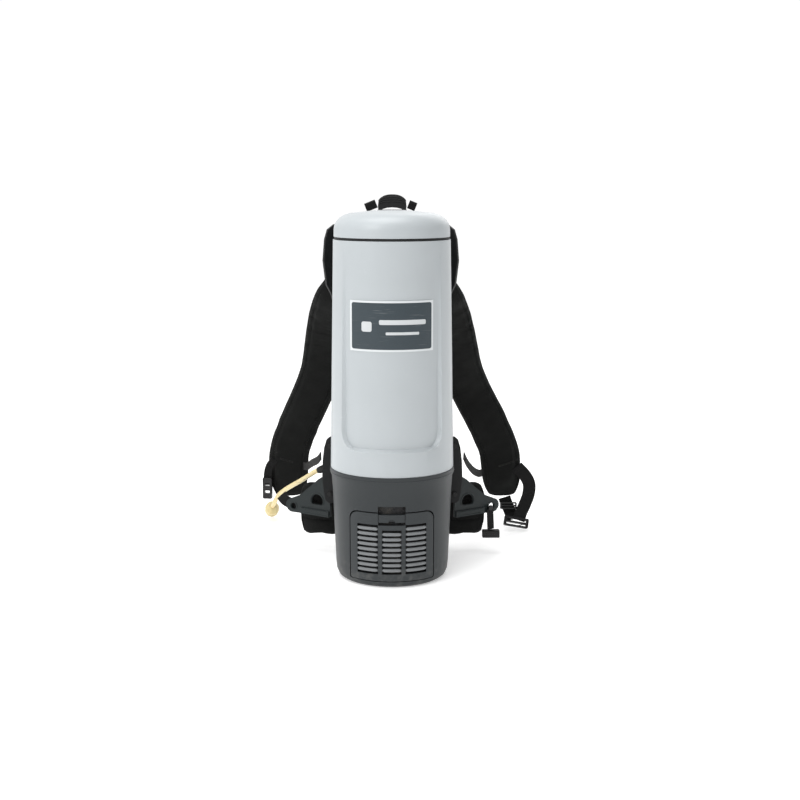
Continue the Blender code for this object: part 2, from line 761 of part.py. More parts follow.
def mirrored_outline(points):
    """Outline points on the other side of the middle, in the same order."""
    return [(-x, z) for x, z in points]


def make_handle():
    """The carry handle: a thick ribbed grip between two slanted end tabs, on one foot plate."""
    pivot = bpy.data.objects.new("handle_pivot", None)
    pivot.location = HANDLE_PIVOT
    PARTS.objects.link(pivot)
    bpy.context.view_layer.update()
    y = HANDLE_PIVOT[1]
    grip = as_mesh(outline_curve("carry_handle", [grip_outline()], HANDLE_DEPTH, RUBBER_BLACK))
    upright(grip, y=y)
    moving = [grip]
    for side, word in ((1, "right"), (-1, "left")):
        leg = box(f"grip_leg_{word}", (side * 0.0195 - 0.0035, y - 0.0040, 0.5486),
                  (side * 0.0195 + 0.0035, y + 0.0040, 0.5560), None)
        combine(grip, leg, "UNION")
        half = 0.0065 if side > 0 else 0.0085
        outline = rounded(-half, -0.0060, half, 0.0060, 0.001, count=2)
        tab = outline_curve(f"handle_tab_{word}", [outline], 0.0080, WEBBING_BLACK)
        upright(tab)
        place = Matrix.Translation((side * 0.0328, y, 0.5605))
        tab.matrix_world = place @ Matrix.Rotation(side * TAB_LEAN, 4, "Y") @ tab.matrix_world
        moving.append(tab)
    for obj in moving:
        bpy.context.view_layer.update()
        world = obj.matrix_world.copy()
        obj.parent = pivot
        obj.matrix_world = world
    box("handle_foot", (-0.0300, 0.1056, 0.5080), (0.0300, 0.1090, 0.5440), WEBBING_BLACK, bevel=0.0008)


# Soft harness -------------------------------------------------------------------

def strap_point(point, side):
    """A point of the shoulder strap on one side, with that side's slight lean."""
    x, y, z = point
    drift = STRAP_LEAN * (STRAP_LEAN_HEIGHT - z) if z < 0.40 else STRAP_TOP_DRIFT
    drift += STRAP_SHIFT
    return Vector((side * (x + side * drift), y, z))


def pad_half_width(share):
    """Half the pad's width along it: narrow at the anchor, rounded at its lower end."""
    full = STRAP_HALF_WIDTH
    if share < 0.12:
        return 0.018 + (full - 0.018) * share / 0.12
    if share > 0.93:
        return full * math.sqrt(max(1.0 - ((share - 0.93) / 0.09) ** 2, 0.05))
    return full


def make_straps():
    """The padded shoulder straps, their clamp bar and their lower webbing."""
    box("strap_clamp_bar", (-0.0680, 0.1056, 0.4860), (0.0680, 0.1100, 0.4980), BUCKLE_BLACK, bevel=0.001)
    for side, word in ((1, "right"), (-1, "left")):
        route = smooth_route([strap_point(p, side) for p in STRAP_ROUTE], 3)
        pad = ribbon(f"shoulder_pad_{word}", route, pad_half_width, (0, 1, 0),
                     PAD_THICKNESS, PAD_BLACK, columns=2)
        pad.data.shade_smooth()
        lift = 0.0 if side > 0 else LEFT_WEBBING_LIFT
        side_route = smooth_route(mirrored([
            (0.1135, 0.0700, 0.1700), (0.1200, 0.0900, 0.1540 + lift * 0.4),
            (0.1310, 0.1260, 0.1345 + lift), (0.1440, 0.1900, 0.1150 + lift),
            (0.1540, 0.2480, 0.1030 + lift),
        ], side), 4)
        ribbon(f"side_webbing_{word}", side_route, 0.0065, (side, -0.15, 0), BELT_THICKNESS, WEBBING_BLACK)
    make_right_adjuster()
    make_left_adjuster()


def make_right_adjuster():
    """The right strap's webbing: from the pad's outer edge, round a bend, to its ladder lock."""
    route = smooth_route([
        (0.2190, 0.2614, 0.1060), (0.2290, 0.2616, 0.0950), (0.2365, 0.2620, 0.0800),
        (0.2365, 0.2620, 0.0620), (0.2315, 0.2590, 0.0450), (0.2250, 0.2545, 0.0330),
    ], 3)
    ribbon("adjuster_webbing_right", route, 0.0110, (0, 1, 0.1), BELT_THICKNESS, WEBBING_BLACK)
    tail = smooth_route([(0.1975, 0.2700, 0.0495), (0.2010, 0.2690, 0.0420), (0.2055, 0.2640, 0.0310)], 3)
    ribbon("tail_webbing_right", tail, 0.0110, (0, 1, 0), BELT_THICKNESS, WEBBING_BLACK)
    lock = outline_curve(
        "ladder_lock_right",
        [rounded(-0.0215, -0.0085, 0.0215, 0.0085, 0.0025),
         rounded(-0.0170, 0.0010, 0.0170, 0.0050, 0.001, count=2),
         rounded(-0.0170, -0.0055, 0.0170, -0.0020, 0.001, count=2)],
        0.0060, BUCKLE_BLACK,
    )
    lean = Matrix.Rotation(math.radians(10), 4, "Y") @ Matrix.Rotation(math.radians(-28), 4, "X")
    upright(lock)
    lock.matrix_world = Matrix.Translation((0.2140, 0.2470, 0.0155)) @ lean @ lock.matrix_world
    bar = outline_curve(
        "triglide_right",
        [rounded(-0.0145, -0.0060, 0.0145, 0.0060, 0.002),
         rounded(-0.0118, 0.0008, 0.0118, 0.0038, 0.001, count=2),
         rounded(-0.0118, -0.0038, 0.0118, -0.0008, 0.001, count=2)],
        0.0030, BUCKLE_BLACK,
    )
    upright(bar, x=0.2012, y=0.2600, z=0.0420)


def make_left_adjuster():
    """The left strap's webbing, folded up short, with its ladder lock beside the pad."""
    route = smooth_route([
        (-0.2140, 0.2612, 0.1150), (-0.2168, 0.2606, 0.1040), (-0.2178, 0.2600, 0.0930),
    ], 4)
    ribbon("adjuster_webbing_left", route, 0.0070, (0, 1, 0), BELT_THICKNESS, WEBBING_BLACK)
    lock = outline_curve(
        "ladder_lock_left",
        [rounded(-0.0080, -0.0185, 0.0080, 0.0185, 0.002),
         rounded(-0.0045, 0.0040, 0.0045, 0.0090, 0.001, count=2),
         rounded(-0.0045, -0.0090, 0.0045, -0.0040, 0.001, count=2)],
        0.0065, BUCKLE_BLACK,
    )
    upright(lock, x=-0.2182, y=0.2590, z=0.0735, turn=math.radians(-8))


def make_belt():
    """The hip belt: two pads behind the wings, and the webbing with its buckle."""
    for side, word in ((1, "right"), (-1, "left")):
        rows = []
        stations = (
            (0.0560, 0.1250), (0.0800, 0.1200), (0.1050, 0.1180), (0.1250, 0.1220), (0.1400, 0.1300),
        )
        for x, y in stations:
            row = []
            for i in range(5):
                share = i / 4
                row.append((side * x, y, 0.0290 + 0.0860 * share))
            rows.append(row)
        rows.append([
            (side * 0.1480, 0.1350, z) for z in (0.0480, 0.0600, 0.0720, 0.0850, 0.0960)
        ])
        pad = grid(f"hip_pad_{word}", rows, PAD_BLACK, 0.018, offset=0.0)
        pad.data.shade_smooth()
    drop = smooth_route([(0.1583, 0.1018, 0.0750), (0.1590, 0.1030, 0.0610), (0.1600, 0.1050, 0.0410)], 3)
    ribbon("belt_webbing_right", drop, 0.0065, (-0.53, 0.85, 0), BELT_THICKNESS, WEBBING_BLACK)
    rod("belt_stud_right", (0.1587, 0.1000, 0.0780), (0.1598, 0.0982, 0.0780), 0.0042, BUCKLE_BLACK, sides=16)
    box("belt_buckle_right", (0.1460, 0.0990, 0.0272), (0.1745, 0.1120, 0.0396), BUCKLE_BLACK, bevel=0.0018)
    fall = smooth_route([(-0.1275, 0.1475, 0.1020), (-0.1262, 0.1470, 0.0900), (-0.1250, 0.1460, 0.0772)], 3)
    ribbon("belt_webbing_left", fall, 0.0125, (0, 1, 0), BELT_THICKNESS, WEBBING_BLACK)
    buckle = outline_curve(
        "belt_buckle_left",
        [[(-0.0140, -0.0140), (-0.0090, -0.0140), (-0.0080, 0.0020), (0.0080, 0.0020),
          (0.0090, -0.0140), (0.0140, -0.0140), (0.0140, 0.0140), (-0.0140, 0.0140)]],
        0.0070, BUCKLE_BLACK,
    )
    upright(buckle, x=-0.1250, y=0.1450, z=0.0610)


# Power cord ---------------------------------------------------------------------

def make_cord():
    """The gland, the short power cord and its plug with two blades and an earth pin."""
    route = smooth_route(CORD_ROUTE, 2)
    start = route[0]
    ahead = (route[1] - start).normalized()
    gland_low = start - ahead * (0.034 + GAP)
    gland = rod("cord_gland", gland_low, start - ahead * GAP, 0.0076, RUBBER_BLACK, 0.0052, sides=20)
    combine(gland, box("gland_face", (-0.0974, 0.02, 0.10), (-0.05, 0.13, 0.20), None))

    curve = bpy.data.curves.new("power_cord", "CURVE")
    curve.dimensions = "3D"
    curve.bevel_depth = CORD_R
    curve.bevel_resolution = 3
    curve.use_fill_caps = True
    spline = curve.splines.new("POLY")
    spline.points.add(len(route) - 1)
    for target, point in zip(spline.points, route):
        target.co = (*point, 1.0)
    add("power_cord", curve, CORD_CREAM)

    end, tip = Vector(CORD_ROUTE[-1]), Vector(PLUG_TIP)
    ahead = (tip - end).normalized()
    neck = end + ahead * 3 * GAP
    body_length = (tip - neck).length
    rings = [(0.0, 0.0062), (0.22, 0.0072), (0.36, 0.0118), (0.50, PLUG_R), (0.96, PLUG_R), (1.0, 0.0114)]
    outline = [(0.0, body_length)] + [(r, share * body_length) for share, r in reversed(rings)] + [(0.0, 0.0)]
    plug = turned("plug_body", outline, PLUG_TAN, steps=24)
    turn = ahead.to_track_quat("Z", "Y").to_matrix().to_4x4()
    plug.matrix_world = Matrix.Translation(neck) @ turn
    for name, x in (("plug_blade_line", -0.0062), ("plug_blade_neutral", 0.0062)):
        blade = box(name, (x - 0.0008, -0.0001, 0), (x + 0.0008, 0.0061, 0.0150), BRASS)
        blade.matrix_world = (
            Matrix.Translation(tip + ahead * GAP) @ turn @ blade.matrix_basis
        )
    pin = rod("plug_earth_pin", (0, -0.0060, 0), (0, -0.0060, 0.0160), 0.0023, BRASS, 0.0018, sides=12)
    pin.matrix_world = Matrix.Translation(tip + ahead * GAP) @ turn @ pin.matrix_basis


make_base()
make_door()
make_switch()
make_shell()
make_lid()
make_inside()
make_harness_frame()
make_handle()
make_straps()
make_belt()
make_cord()
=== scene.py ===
import logging
import math
from dataclasses import dataclass, field
from enum import Enum
from typing import Callable, Iterable, Optional, Sequence, Union

import bmesh
import bpy
import numpy as np
from mathutils import Matrix, Vector
from mathutils.bvhtree import BVHTree


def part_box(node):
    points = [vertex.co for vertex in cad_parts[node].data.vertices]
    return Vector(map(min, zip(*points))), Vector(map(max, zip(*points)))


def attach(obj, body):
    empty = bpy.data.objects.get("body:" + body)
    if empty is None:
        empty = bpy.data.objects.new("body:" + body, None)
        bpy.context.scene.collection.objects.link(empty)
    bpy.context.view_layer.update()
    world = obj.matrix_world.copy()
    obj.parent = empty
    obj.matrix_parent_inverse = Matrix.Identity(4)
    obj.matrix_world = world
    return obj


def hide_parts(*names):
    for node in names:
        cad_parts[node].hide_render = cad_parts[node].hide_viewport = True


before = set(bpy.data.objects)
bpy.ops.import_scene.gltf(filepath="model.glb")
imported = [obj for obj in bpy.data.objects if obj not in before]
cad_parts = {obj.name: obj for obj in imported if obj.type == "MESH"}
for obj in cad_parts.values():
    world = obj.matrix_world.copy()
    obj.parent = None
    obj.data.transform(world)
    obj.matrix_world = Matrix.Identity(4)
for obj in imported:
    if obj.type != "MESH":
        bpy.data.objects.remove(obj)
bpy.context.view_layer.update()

LOG = logging.getLogger("backpack_vacuum")
Place = tuple[float, float, float]
ROOM_LIGHT = 1.22
WELD_REACH = 0.00002
CRISP_ANGLE = math.radians(32.0)


# Shader helpers -----------------------------------------------------------------

class Value:
    """A number that varies over a surface, used in plain arithmetic."""

    def __init__(self, graph: "Graph", socket: bpy.types.NodeSocket) -> None:
        """Wrap one output socket of a graph."""
        self.graph = graph
        self.socket = socket

    def _join(self, operation: str, *terms: "Number") -> "Value":
        """Add one Math node.

        Args:
            operation: The Math node's operation.
            terms: Its inputs, as values or numbers.

        Returns:
            The node's result.
        """
        node = self.graph.node("ShaderNodeMath", {"operation": operation}, dict(enumerate(terms)))
        return Value(self.graph, node.outputs[0])

    def __add__(self, other: "Number") -> "Value":
        """Sum."""
        return self._join("ADD", self, other)

    def __radd__(self, other: "Number") -> "Value":
        """Sum, reflected."""
        return self._join("ADD", other, self)

    def __sub__(self, other: "Number") -> "Value":
        """Difference."""
        return self._join("SUBTRACT", self, other)

    def __rsub__(self, other: "Number") -> "Value":
        """Difference, reflected."""
        return self._join("SUBTRACT", other, self)

    def __mul__(self, other: "Number") -> "Value":
        """Product."""
        return self._join("MULTIPLY", self, other)

    def __rmul__(self, other: "Number") -> "Value":
        """Product, reflected."""
        return self._join("MULTIPLY", other, self)

    def size(self) -> "Value":
        """The value without its sign."""
        return self._join("ABSOLUTE", self)

    def sine(self) -> "Value":
        """The sine of the value, in radians."""
        return self._join("SINE", self)

    def most(self, other: "Number") -> "Value":
        """The larger of two values."""
        return self._join("MAXIMUM", self, other)

    def ramp(self, start: float, end: float) -> "Value":
        """A smooth step.

        Args:
            start: Where the step is 0.
            end: Where the step is 1.

        Returns:
            The step, from 0 to 1.
        """
        low, high, first, last = (start, end, 0.0, 1.0) if start < end else (end, start, 1.0, 0.0)
        node = self.graph.node(
            "ShaderNodeMapRange", {"interpolation_type": "SMOOTHSTEP"},
            {"Value": self, "From Min": low, "From Max": high, "To Min": first, "To Max": last},
        )
        return Value(self.graph, node.outputs[0])


Number = Union[Value, float]


class Graph:
    """A node tree: a new material's, with its Principled shader, or the studio air's."""

    def __init__(self, name: str, air: Optional[bpy.types.World] = None) -> None:
        """Make an empty material of that name, or work on a world's tree."""
        self.material = None if air else bpy.data.materials.new(name)
        owner = air or self.material
        owner.use_nodes = True
        self.tree = owner.node_tree
        self.shader = self.tree.nodes["Background" if air else "Principled BSDF"]

    def node(self, kind: str, settings: dict, inputs: dict) -> bpy.types.Node:
        """Add any node.

        Args:
            kind: The node's type.
            settings: Its properties, set first.
            inputs: Values or links for its sockets, by name or place.

        Returns:
            The node.
        """
        made = self.tree.nodes.new(kind)
        for key, value in settings.items():
            setattr(made, key, value)
        for key, value in inputs.items():
            self.feed(made.inputs[key], value)
        return made

    def feed(self, socket: bpy.types.NodeSocket, value: object) -> None:
        """Link a value to a socket, or set the socket's own number."""
        if isinstance(value, Value):
            self.tree.links.new(value.socket, socket)
        elif isinstance(value, bpy.types.NodeSocket):
            self.tree.links.new(value, socket)
        else:
            socket.default_value = value

    def coords(self, uv: bool = False) -> bpy.types.NodeSocket:
        """The place on the piece in metres, or its strip coordinates."""
        return self.node("ShaderNodeTexCoord", {}, {}).outputs["UV" if uv else "Object"]

    def axes(self, vector: bpy.types.NodeSocket) -> tuple[Value, Value, Value]:
        """Split a vector in its three numbers."""
        made = self.node("ShaderNodeSeparateXYZ", {}, {0: vector})
        return tuple(Value(self, out) for out in made.outputs)

    def stretched(self, vector: bpy.types.NodeSocket, scale: Place) -> bpy.types.NodeSocket:
        """The vector with each axis scaled on its own."""
        made = self.node("ShaderNodeVectorMath", {"operation": "MULTIPLY"}, {0: vector, 1: scale})
        return made.outputs[0]

    def noise(self, vector: bpy.types.NodeSocket, scale: float, detail: float = 2.0) -> Value:
        """Soft noise from 0 to 1."""
        made = self.node("ShaderNodeTexNoise", {}, {"Vector": vector, "Scale": scale, "Detail": detail})
        return Value(self, made.outputs[0])

    def cells(self, vector: bpy.types.NodeSocket, scale: float) -> Value:
        """The distance to the middle of the nearest cell."""
        made = self.node("ShaderNodeTexVoronoi", {}, {"Vector": vector, "Scale": scale})
        return Value(self, made.outputs["Distance"])

    def blend(self, share: Number, first: object, second: object) -> bpy.types.NodeSocket:
        """Mix two colours.

        Args:
            share: 0 for the first colour and 1 for the second.
            first: A colour or a link.
            second: A colour or a link.

        Returns:
            The mixed colour.
        """
        made = self.node("ShaderNodeMix", {"data_type": "RGBA"}, {0: share, 6: first, 7: second})
        return made.outputs[2]

    def edges(self, radius: float) -> tuple[Value, bpy.types.NodeSocket]:
        """How sharp the surface turns nearby, and its normal with rounded edges."""
        soft = self.node("ShaderNodeBevel", {"samples": 4}, {"Radius": radius}).outputs[0]
        true = self.node("ShaderNodeNewGeometry", {}, {}).outputs["Normal"]
        dot = self.node("ShaderNodeVectorMath", {"operation": "DOT_PRODUCT"}, {0: soft, 1: true})
        return Value(self, dot.outputs["Value"]).ramp(0.985, 0.90), soft

    def relief(self, height: Value, depth: float, normal: Optional[bpy.types.NodeSocket] = None) -> None:
        """Raise and lower the surface's shading by a height, depth metres deep."""
        inputs = {"Height": height, "Distance": depth, "Strength": 1.0}
        if normal is not None:
            inputs["Normal"] = normal
        bump = self.node("ShaderNodeBump", {}, inputs)
        self.tree.links.new(bump.outputs[0], self.shader.inputs["Normal"])


class ShapeGraph(Graph):
    """A modifier's node tree. It gives a changed shape, and leaves the object's own mesh alone."""

    def __init__(self, name: str) -> None:
        """Make the tree, with one shape going in and one coming out."""
        self.tree = bpy.data.node_groups.new(name, "GeometryNodeTree")
        self.tree.is_modifier = True
        for way in ("INPUT", "OUTPUT"):
            self.tree.interface.new_socket("Shape", in_out=way, socket_type="NodeSocketGeometry")
        self.shape = self.node("NodeGroupInput", {}, {}).outputs[0]

    def give(self, shape: bpy.types.NodeSocket) -> None:
        """Send the finished shape out of the tree."""
        self.node("NodeGroupOutput", {}, {0: shape})


# Finishes -----------------------------------------------------------------------

@dataclass(frozen=True)
class Tint:
    """A colour as seen, 0 to 255 a channel."""

    red: float
    green: float
    blue: float

    def shade(self, factor: float = 1.0) -> tuple[float, float, float, float]:
        """The colour as light, scaled by a factor."""
        made = []
        for channel in (self.red, self.green, self.blue):
            share = channel / 255
            light = share / 12.92 if share < 0.04045 else ((share + 0.055) / 1.055) ** 2.4
            made.append(min(light * factor / ROOM_LIGHT, 1.0))
        return (*made, 1.0)


@dataclass(frozen=True)
class Moulded:
    """Injection-moulded plastic or rubber, with grain, handling marks and worn edges."""

    name: str
    tint: Tint
    roughness: float = 0.42
    grain: float = 0.00003
    grain_scale: float = 1500.0
    marks: float = 0.3
    wear: float = 0.35
    edge_radius: float = 0.0009
    coat: float = 0.0
    foot_dust: float = 0.0
    gloss: float = 0.5
    eased: bool = True

    def build(self) -> bpy.types.Material:
        """Make the material."""
        g = Graph(self.name)
        place = g.coords()
        cloud = g.noise(place, 9.0, 3.0)
        fine = g.noise(place, self.grain_scale, 1.0)
        scuffs = g.noise(g.stretched(place, (60.0, 60.0, 900.0)), 1.0, 4.0).ramp(0.64, 0.74)
        scuffs = scuffs * g.noise(place, 22.0, 2.0).ramp(0.50, 0.62) * self.marks
        sharp, soft = g.edges(self.edge_radius)
        worn = sharp * g.noise(place, 160.0, 3.0).ramp(0.35, 0.65) * self.wear
        colour = g.blend(cloud, self.tint.shade(0.93), self.tint.shade(1.07))
        colour = g.blend(scuffs, colour, self.tint.shade(1.35))
        colour = g.blend(worn, colour, self.tint.shade(1.9))
        rough = self.roughness + 0.10 * (cloud - 0.5) + 0.25 * scuffs
        if self.foot_dust:
            height = g.axes(place)[2]
            dust = height.ramp(0.05, 0.0) * g.noise(place, 90.0, 4.0).ramp(0.4, 0.8) * self.foot_dust
            colour = g.blend(dust, colour, Tint(168, 165, 158).shade())
            rough = rough + 0.3 * dust
        g.feed(g.shader.inputs["Base Color"], colour)
        g.feed(g.shader.inputs["Roughness"], rough)
        g.shader.inputs["Coat Weight"].default_value = self.coat
        g.shader.inputs["Coat Roughness"].default_value = 0.25
        g.shader.inputs["Specular IOR Level"].default_value = self.gloss
        g.relief(fine + 0.6 * scuffs, self.grain, soft if self.eased else None)
        return g.material


@dataclass(frozen=True)
class Webbing:
    """Woven polyester strap, with its weave running along the strap, painted shade in the weave's dips and
    painted highlight on its raised threads.
    """

    name: str
    tint: Tint
    rib: float = 0.0014
    pick: float = 0.0010

    def build(self) -> bpy.types.Material:
        """Make the material."""
        g = Graph(self.name)
        strip = g.coords(uv=True)
        across, along, _ = g.axes(strip)
        turn = 2 * math.pi
        rib = (across * (turn / self.rib)).sine()
        pick = (along * (turn / self.pick) + 1.6 * rib).sine()
        weave = 0.5 + 0.28 * rib + 0.22 * pick
        fuzz = g.noise(g.coords(), 700.0, 2.0)
        worn = g.noise(g.coords(), 30.0, 3.0).ramp(0.52, 0.75)
        # painted shade and highlight: the weave's height darkens its dips and lightens its raised threads
        colour = g.blend(weave, self.tint.shade(0.55), self.tint.shade(1.25))
        colour = g.blend(0.35 * worn * fuzz, colour, self.tint.shade(2.8))
        g.feed(g.shader.inputs["Base Color"], colour)
        g.feed(g.shader.inputs["Roughness"], 0.86 - 0.14 * weave)
        g.shader.inputs["Sheen Weight"].default_value = 0.04
        g.shader.inputs["Specular IOR Level"].default_value = 0.2
        g.shader.inputs["Sheen Roughness"].default_value = 0.5
        g.relief(weave + 0.3 * fuzz, 0.00022)
        return g.material


@dataclass(frozen=True)
class PaddedCloth:
    """Coated nylon cloth over foam: a fine basket weave with creases and lint, painted shade in the weave's
    dips and painted highlight on its raised threads.
    """

    name: str
    tint: Tint
    thread: float = 0.0011
    mesh_holes: float = 0.0

    def build(self) -> bpy.types.Material:
        """Make the material."""
        g = Graph(self.name)
        place = g.coords()
        x, y, z = g.axes(place)
        turn = 2 * math.pi / self.thread
        warp = ((x + 0.6 * y) * turn).sine()
        weft = ((z + 0.5 * y) * turn).sine()
        weave = 0.5 + 0.5 * warp * weft
        creases = g.noise(g.stretched(place, (14.0, 14.0, 34.0)), 1.0, 4.0)
        lint = g.noise(place, 420.0, 2.0).ramp(0.70, 0.80) * g.noise(place, 14.0, 2.0).ramp(0.45, 0.65)
        rubbed = g.noise(place, 11.0, 3.0).ramp(0.50, 0.72)
        # painted shade and highlight: the weave's height darkens its dips and lightens its raised threads
        colour = g.blend(weave, self.tint.shade(0.62), self.tint.shade(1.22))
        colour = g.blend(0.28 * rubbed, colour, self.tint.shade(2.2))
        colour = g.blend(0.35 * lint, colour, Tint(120, 118, 112).shade())
        g.feed(g.shader.inputs["Base Color"], colour)
        g.feed(g.shader.inputs["Roughness"], 0.88 - 0.10 * rubbed)
        g.shader.inputs["Sheen Weight"].default_value = 0.04
        g.shader.inputs["Specular IOR Level"].default_value = 0.2
        g.shader.inputs["Sheen Roughness"].default_value = 0.45
        height = weave + 2.2 * creases
        if self.mesh_holes:
            height = height + self.mesh_holes * g.cells(place, 380.0)
        g.relief(height, 0.00028)
        return g.material


@dataclass(frozen=True)
class OpenFoam:
    """Open-cell filter foam, with painted shade in the sunken gaps between its cells."""

    name: str
    tint: Tint
    cell_scale: float = 620.0

    def build(self) -> bpy.types.Material:
        """Make the material."""
        g = Graph(self.name)
        place = g.coords()
        cells = g.cells(place, self.cell_scale)
        soil = g.noise(place, 40.0, 4.0).ramp(0.45, 0.75)
        # painted shade and highlight: the cells' sunken edges are darkened and their raised middles lightened
        colour = g.blend(cells, self.tint.shade(1.3), self.tint.shade(0.35))
        colour = g.blend(0.4 * soil, colour, Tint(112, 106, 96).shade())
        g.feed(g.shader.inputs["Base Color"], colour)
        g.feed(g.shader.inputs["Roughness"], 0.98 - 0.06 * cells)
        g.relief(1.0 - cells, 0.0006)
        return g.material


@dataclass(frozen=True)
class BagPaper:
    """Fibrous filter paper, a little soiled from inside."""

    name: str
    tint: Tint

    def build(self) -> bpy.types.Material:
        """Make the material."""
        g = Graph(self.name)
        place = g.coords()
        fibres = g.noise(g.stretched(place, (300.0, 300.0, 90.0)), 1.0, 4.0)
        folds = g.noise(g.stretched(place, (26.0, 26.0, 6.0)), 1.0, 3.0)
        soil = g.noise(place, 18.0, 4.0).ramp(0.48, 0.80)
        colour = g.blend(fibres, self.tint.shade(0.88), self.tint.shade(1.08))
        colour = g.blend(0.5 * soil, colour, Tint(150, 140, 124).shade())
        g.feed(g.shader.inputs["Base Color"], colour)
        g.feed(g.shader.inputs["Roughness"], 0.90 + 0.08 * fibres)
        g.relief(fibres + 3.0 * folds, 0.0004)
        return g.material


@dataclass(frozen=True)
class TurnedMetal:
    """Turned, pressed or plated metal, with fine tool lines and dull spots."""

    name: str
    tint: Tint
    roughness: float = 0.28

    def build(self) -> bpy.types.Material:
        """Make the material."""
        g = Graph(self.name)
        place = g.coords()
        lines = g.noise(g.stretched(place, (40.0, 40.0, 2600.0)), 1.0, 3.0)
        dull = g.noise(place, 210.0, 4.0).ramp(0.45, 0.75)
        sharp, soft = g.edges(0.0004)
        colour = g.blend(lines, self.tint.shade(0.86), self.tint.shade(1.05))
        colour = g.blend(0.35 * dull, colour, self.tint.shade(0.5))
        g.feed(g.shader.inputs["Base Color"], colour)
        g.feed(g.shader.inputs["Metallic"], 1.0 - 0.25 * dull)
        g.feed(g.shader.inputs["Roughness"], self.roughness + 0.16 * dull + 0.08 * lines - 0.05 * sharp)
        g.relief(lines, 0.00002, soft)
        return g.material


@dataclass(frozen=True)
class LeadJacket:
    """The lead's soft jacket and moulded plug, with a little handling dirt and a painted highlight along
    their edges.
    """

    name: str
    tint: Tint
    soiled: Tint

    def build(self) -> bpy.types.Material:
        """Make the material."""
        g = Graph(self.name)
        place = g.coords()
        cloud = g.noise(place, 60.0, 4.0)
        fine = g.noise(place, 1800.0, 1.0)
        dirt = cloud.ramp(0.50, 0.75) * g.noise(place, 240.0, 3.0).ramp(0.35, 0.70)
        sharp, soft = g.edges(0.0007)
        colour = g.blend(cloud, self.tint.shade(0.93), self.tint.shade(1.05))
        colour = g.blend(0.55 * dirt, colour, self.soiled.shade())
        # painted highlight: every edge of the jacket and plug is lightened evenly
        colour = g.blend(0.3 * sharp, colour, self.tint.shade(1.2))
        g.feed(g.shader.inputs["Base Color"], colour)
        g.feed(g.shader.inputs["Roughness"], 0.46 + 0.16 * dirt)
        g.shader.inputs["Subsurface Weight"].default_value = 0.05
        g.shader.inputs["Subsurface Scale"].default_value = 0.002
        g.relief(fine + dirt, 0.00003, soft)
        return g.material


@dataclass(frozen=True)
class LabelPrint:
    """A plain printed plate: a pale border, a slate field, and plain pale bars in place of words."""

    name: str
    low: Place
    high: Place
    border: float = 0.0030
    corner: float = 0.0030
    field: Tint = Tint(38, 53, 61)
    pale: Tint = Tint(226, 230, 232)

    def _panel(self, across: Value, up: Value, middle: tuple[float, float],
               half: tuple[float, float], corner: float) -> Value:
        """A rounded rectangle's mask.

        Args:
            across: The place across the label.
            up: The place up the label.
            middle: The rectangle's middle.
            half: Half its width and height.
            corner: Its corners' radius.

        Returns:
            1 inside the rectangle and 0 outside.
        """
        dx = ((across - middle[0]).size() - (half[0] - corner)).most(0.0)
        dz = ((up - middle[1]).size() - (half[1] - corner)).most(0.0)
        far = (dx * dx + dz * dz)
        return far.ramp((corner + 0.0001) ** 2, (corner - 0.0001) ** 2)

    def build(self) -> bpy.types.Material:
        """Make the material."""
        g = Graph(self.name)
        place = g.coords()
        x, _, z = g.axes(place)
        cx, cz = (self.low[0] + self.high[0]) / 2, (self.low[2] + self.high[2]) / 2
        half_x, half_z = (self.high[0] - self.low[0]) / 2, (self.high[2] - self.low[2]) / 2
        inside = self._panel(x, z, (cx, cz), (half_x - self.border * 0.8, half_z - self.border), self.corner)
        shapes = (
            ((cx - half_x * 0.60, cz - half_z * 0.02), (half_z * 0.20, half_z * 0.20), 0.0030),
            ((cx + half_x * 0.26, cz + half_z * 0.16), (half_x * 0.56, half_z * 0.095), 0.0020),
            ((cx + half_x * 0.26, cz - half_z * 0.28), (half_x * 0.40, half_z * 0.055), 0.0012),
        )
        bars: Number = 0.0
        for middle, half, corner in shapes:
            bars = self._panel(x, z, middle, half, corner) + bars
        fleck = g.noise(place, 260.0, 3.0)
        rub = g.noise(g.stretched(place, (30.0, 30.0, 500.0)), 1.0, 3.0).ramp(0.62, 0.74)
        field = g.blend(fleck, self.field.shade(0.92), self.field.shade(1.10))
        colour = g.blend(bars, field, self.pale.shade(0.86))
        colour = g.blend(inside, self.pale.shade(), colour)
        colour = g.blend(0.12 * rub, colour, self.pale.shade(0.7))
        g.feed(g.shader.inputs["Base Color"], colour)
        g.feed(g.shader.inputs["Roughness"], 0.34 + 0.2 * rub + 0.05 * fleck)
        g.shader.inputs["Coat Weight"].default_value = 0.25
        g.shader.inputs["Coat Roughness"].default_value = 0.2
        g.relief(bars + rub, 0.00003)
        return g.material


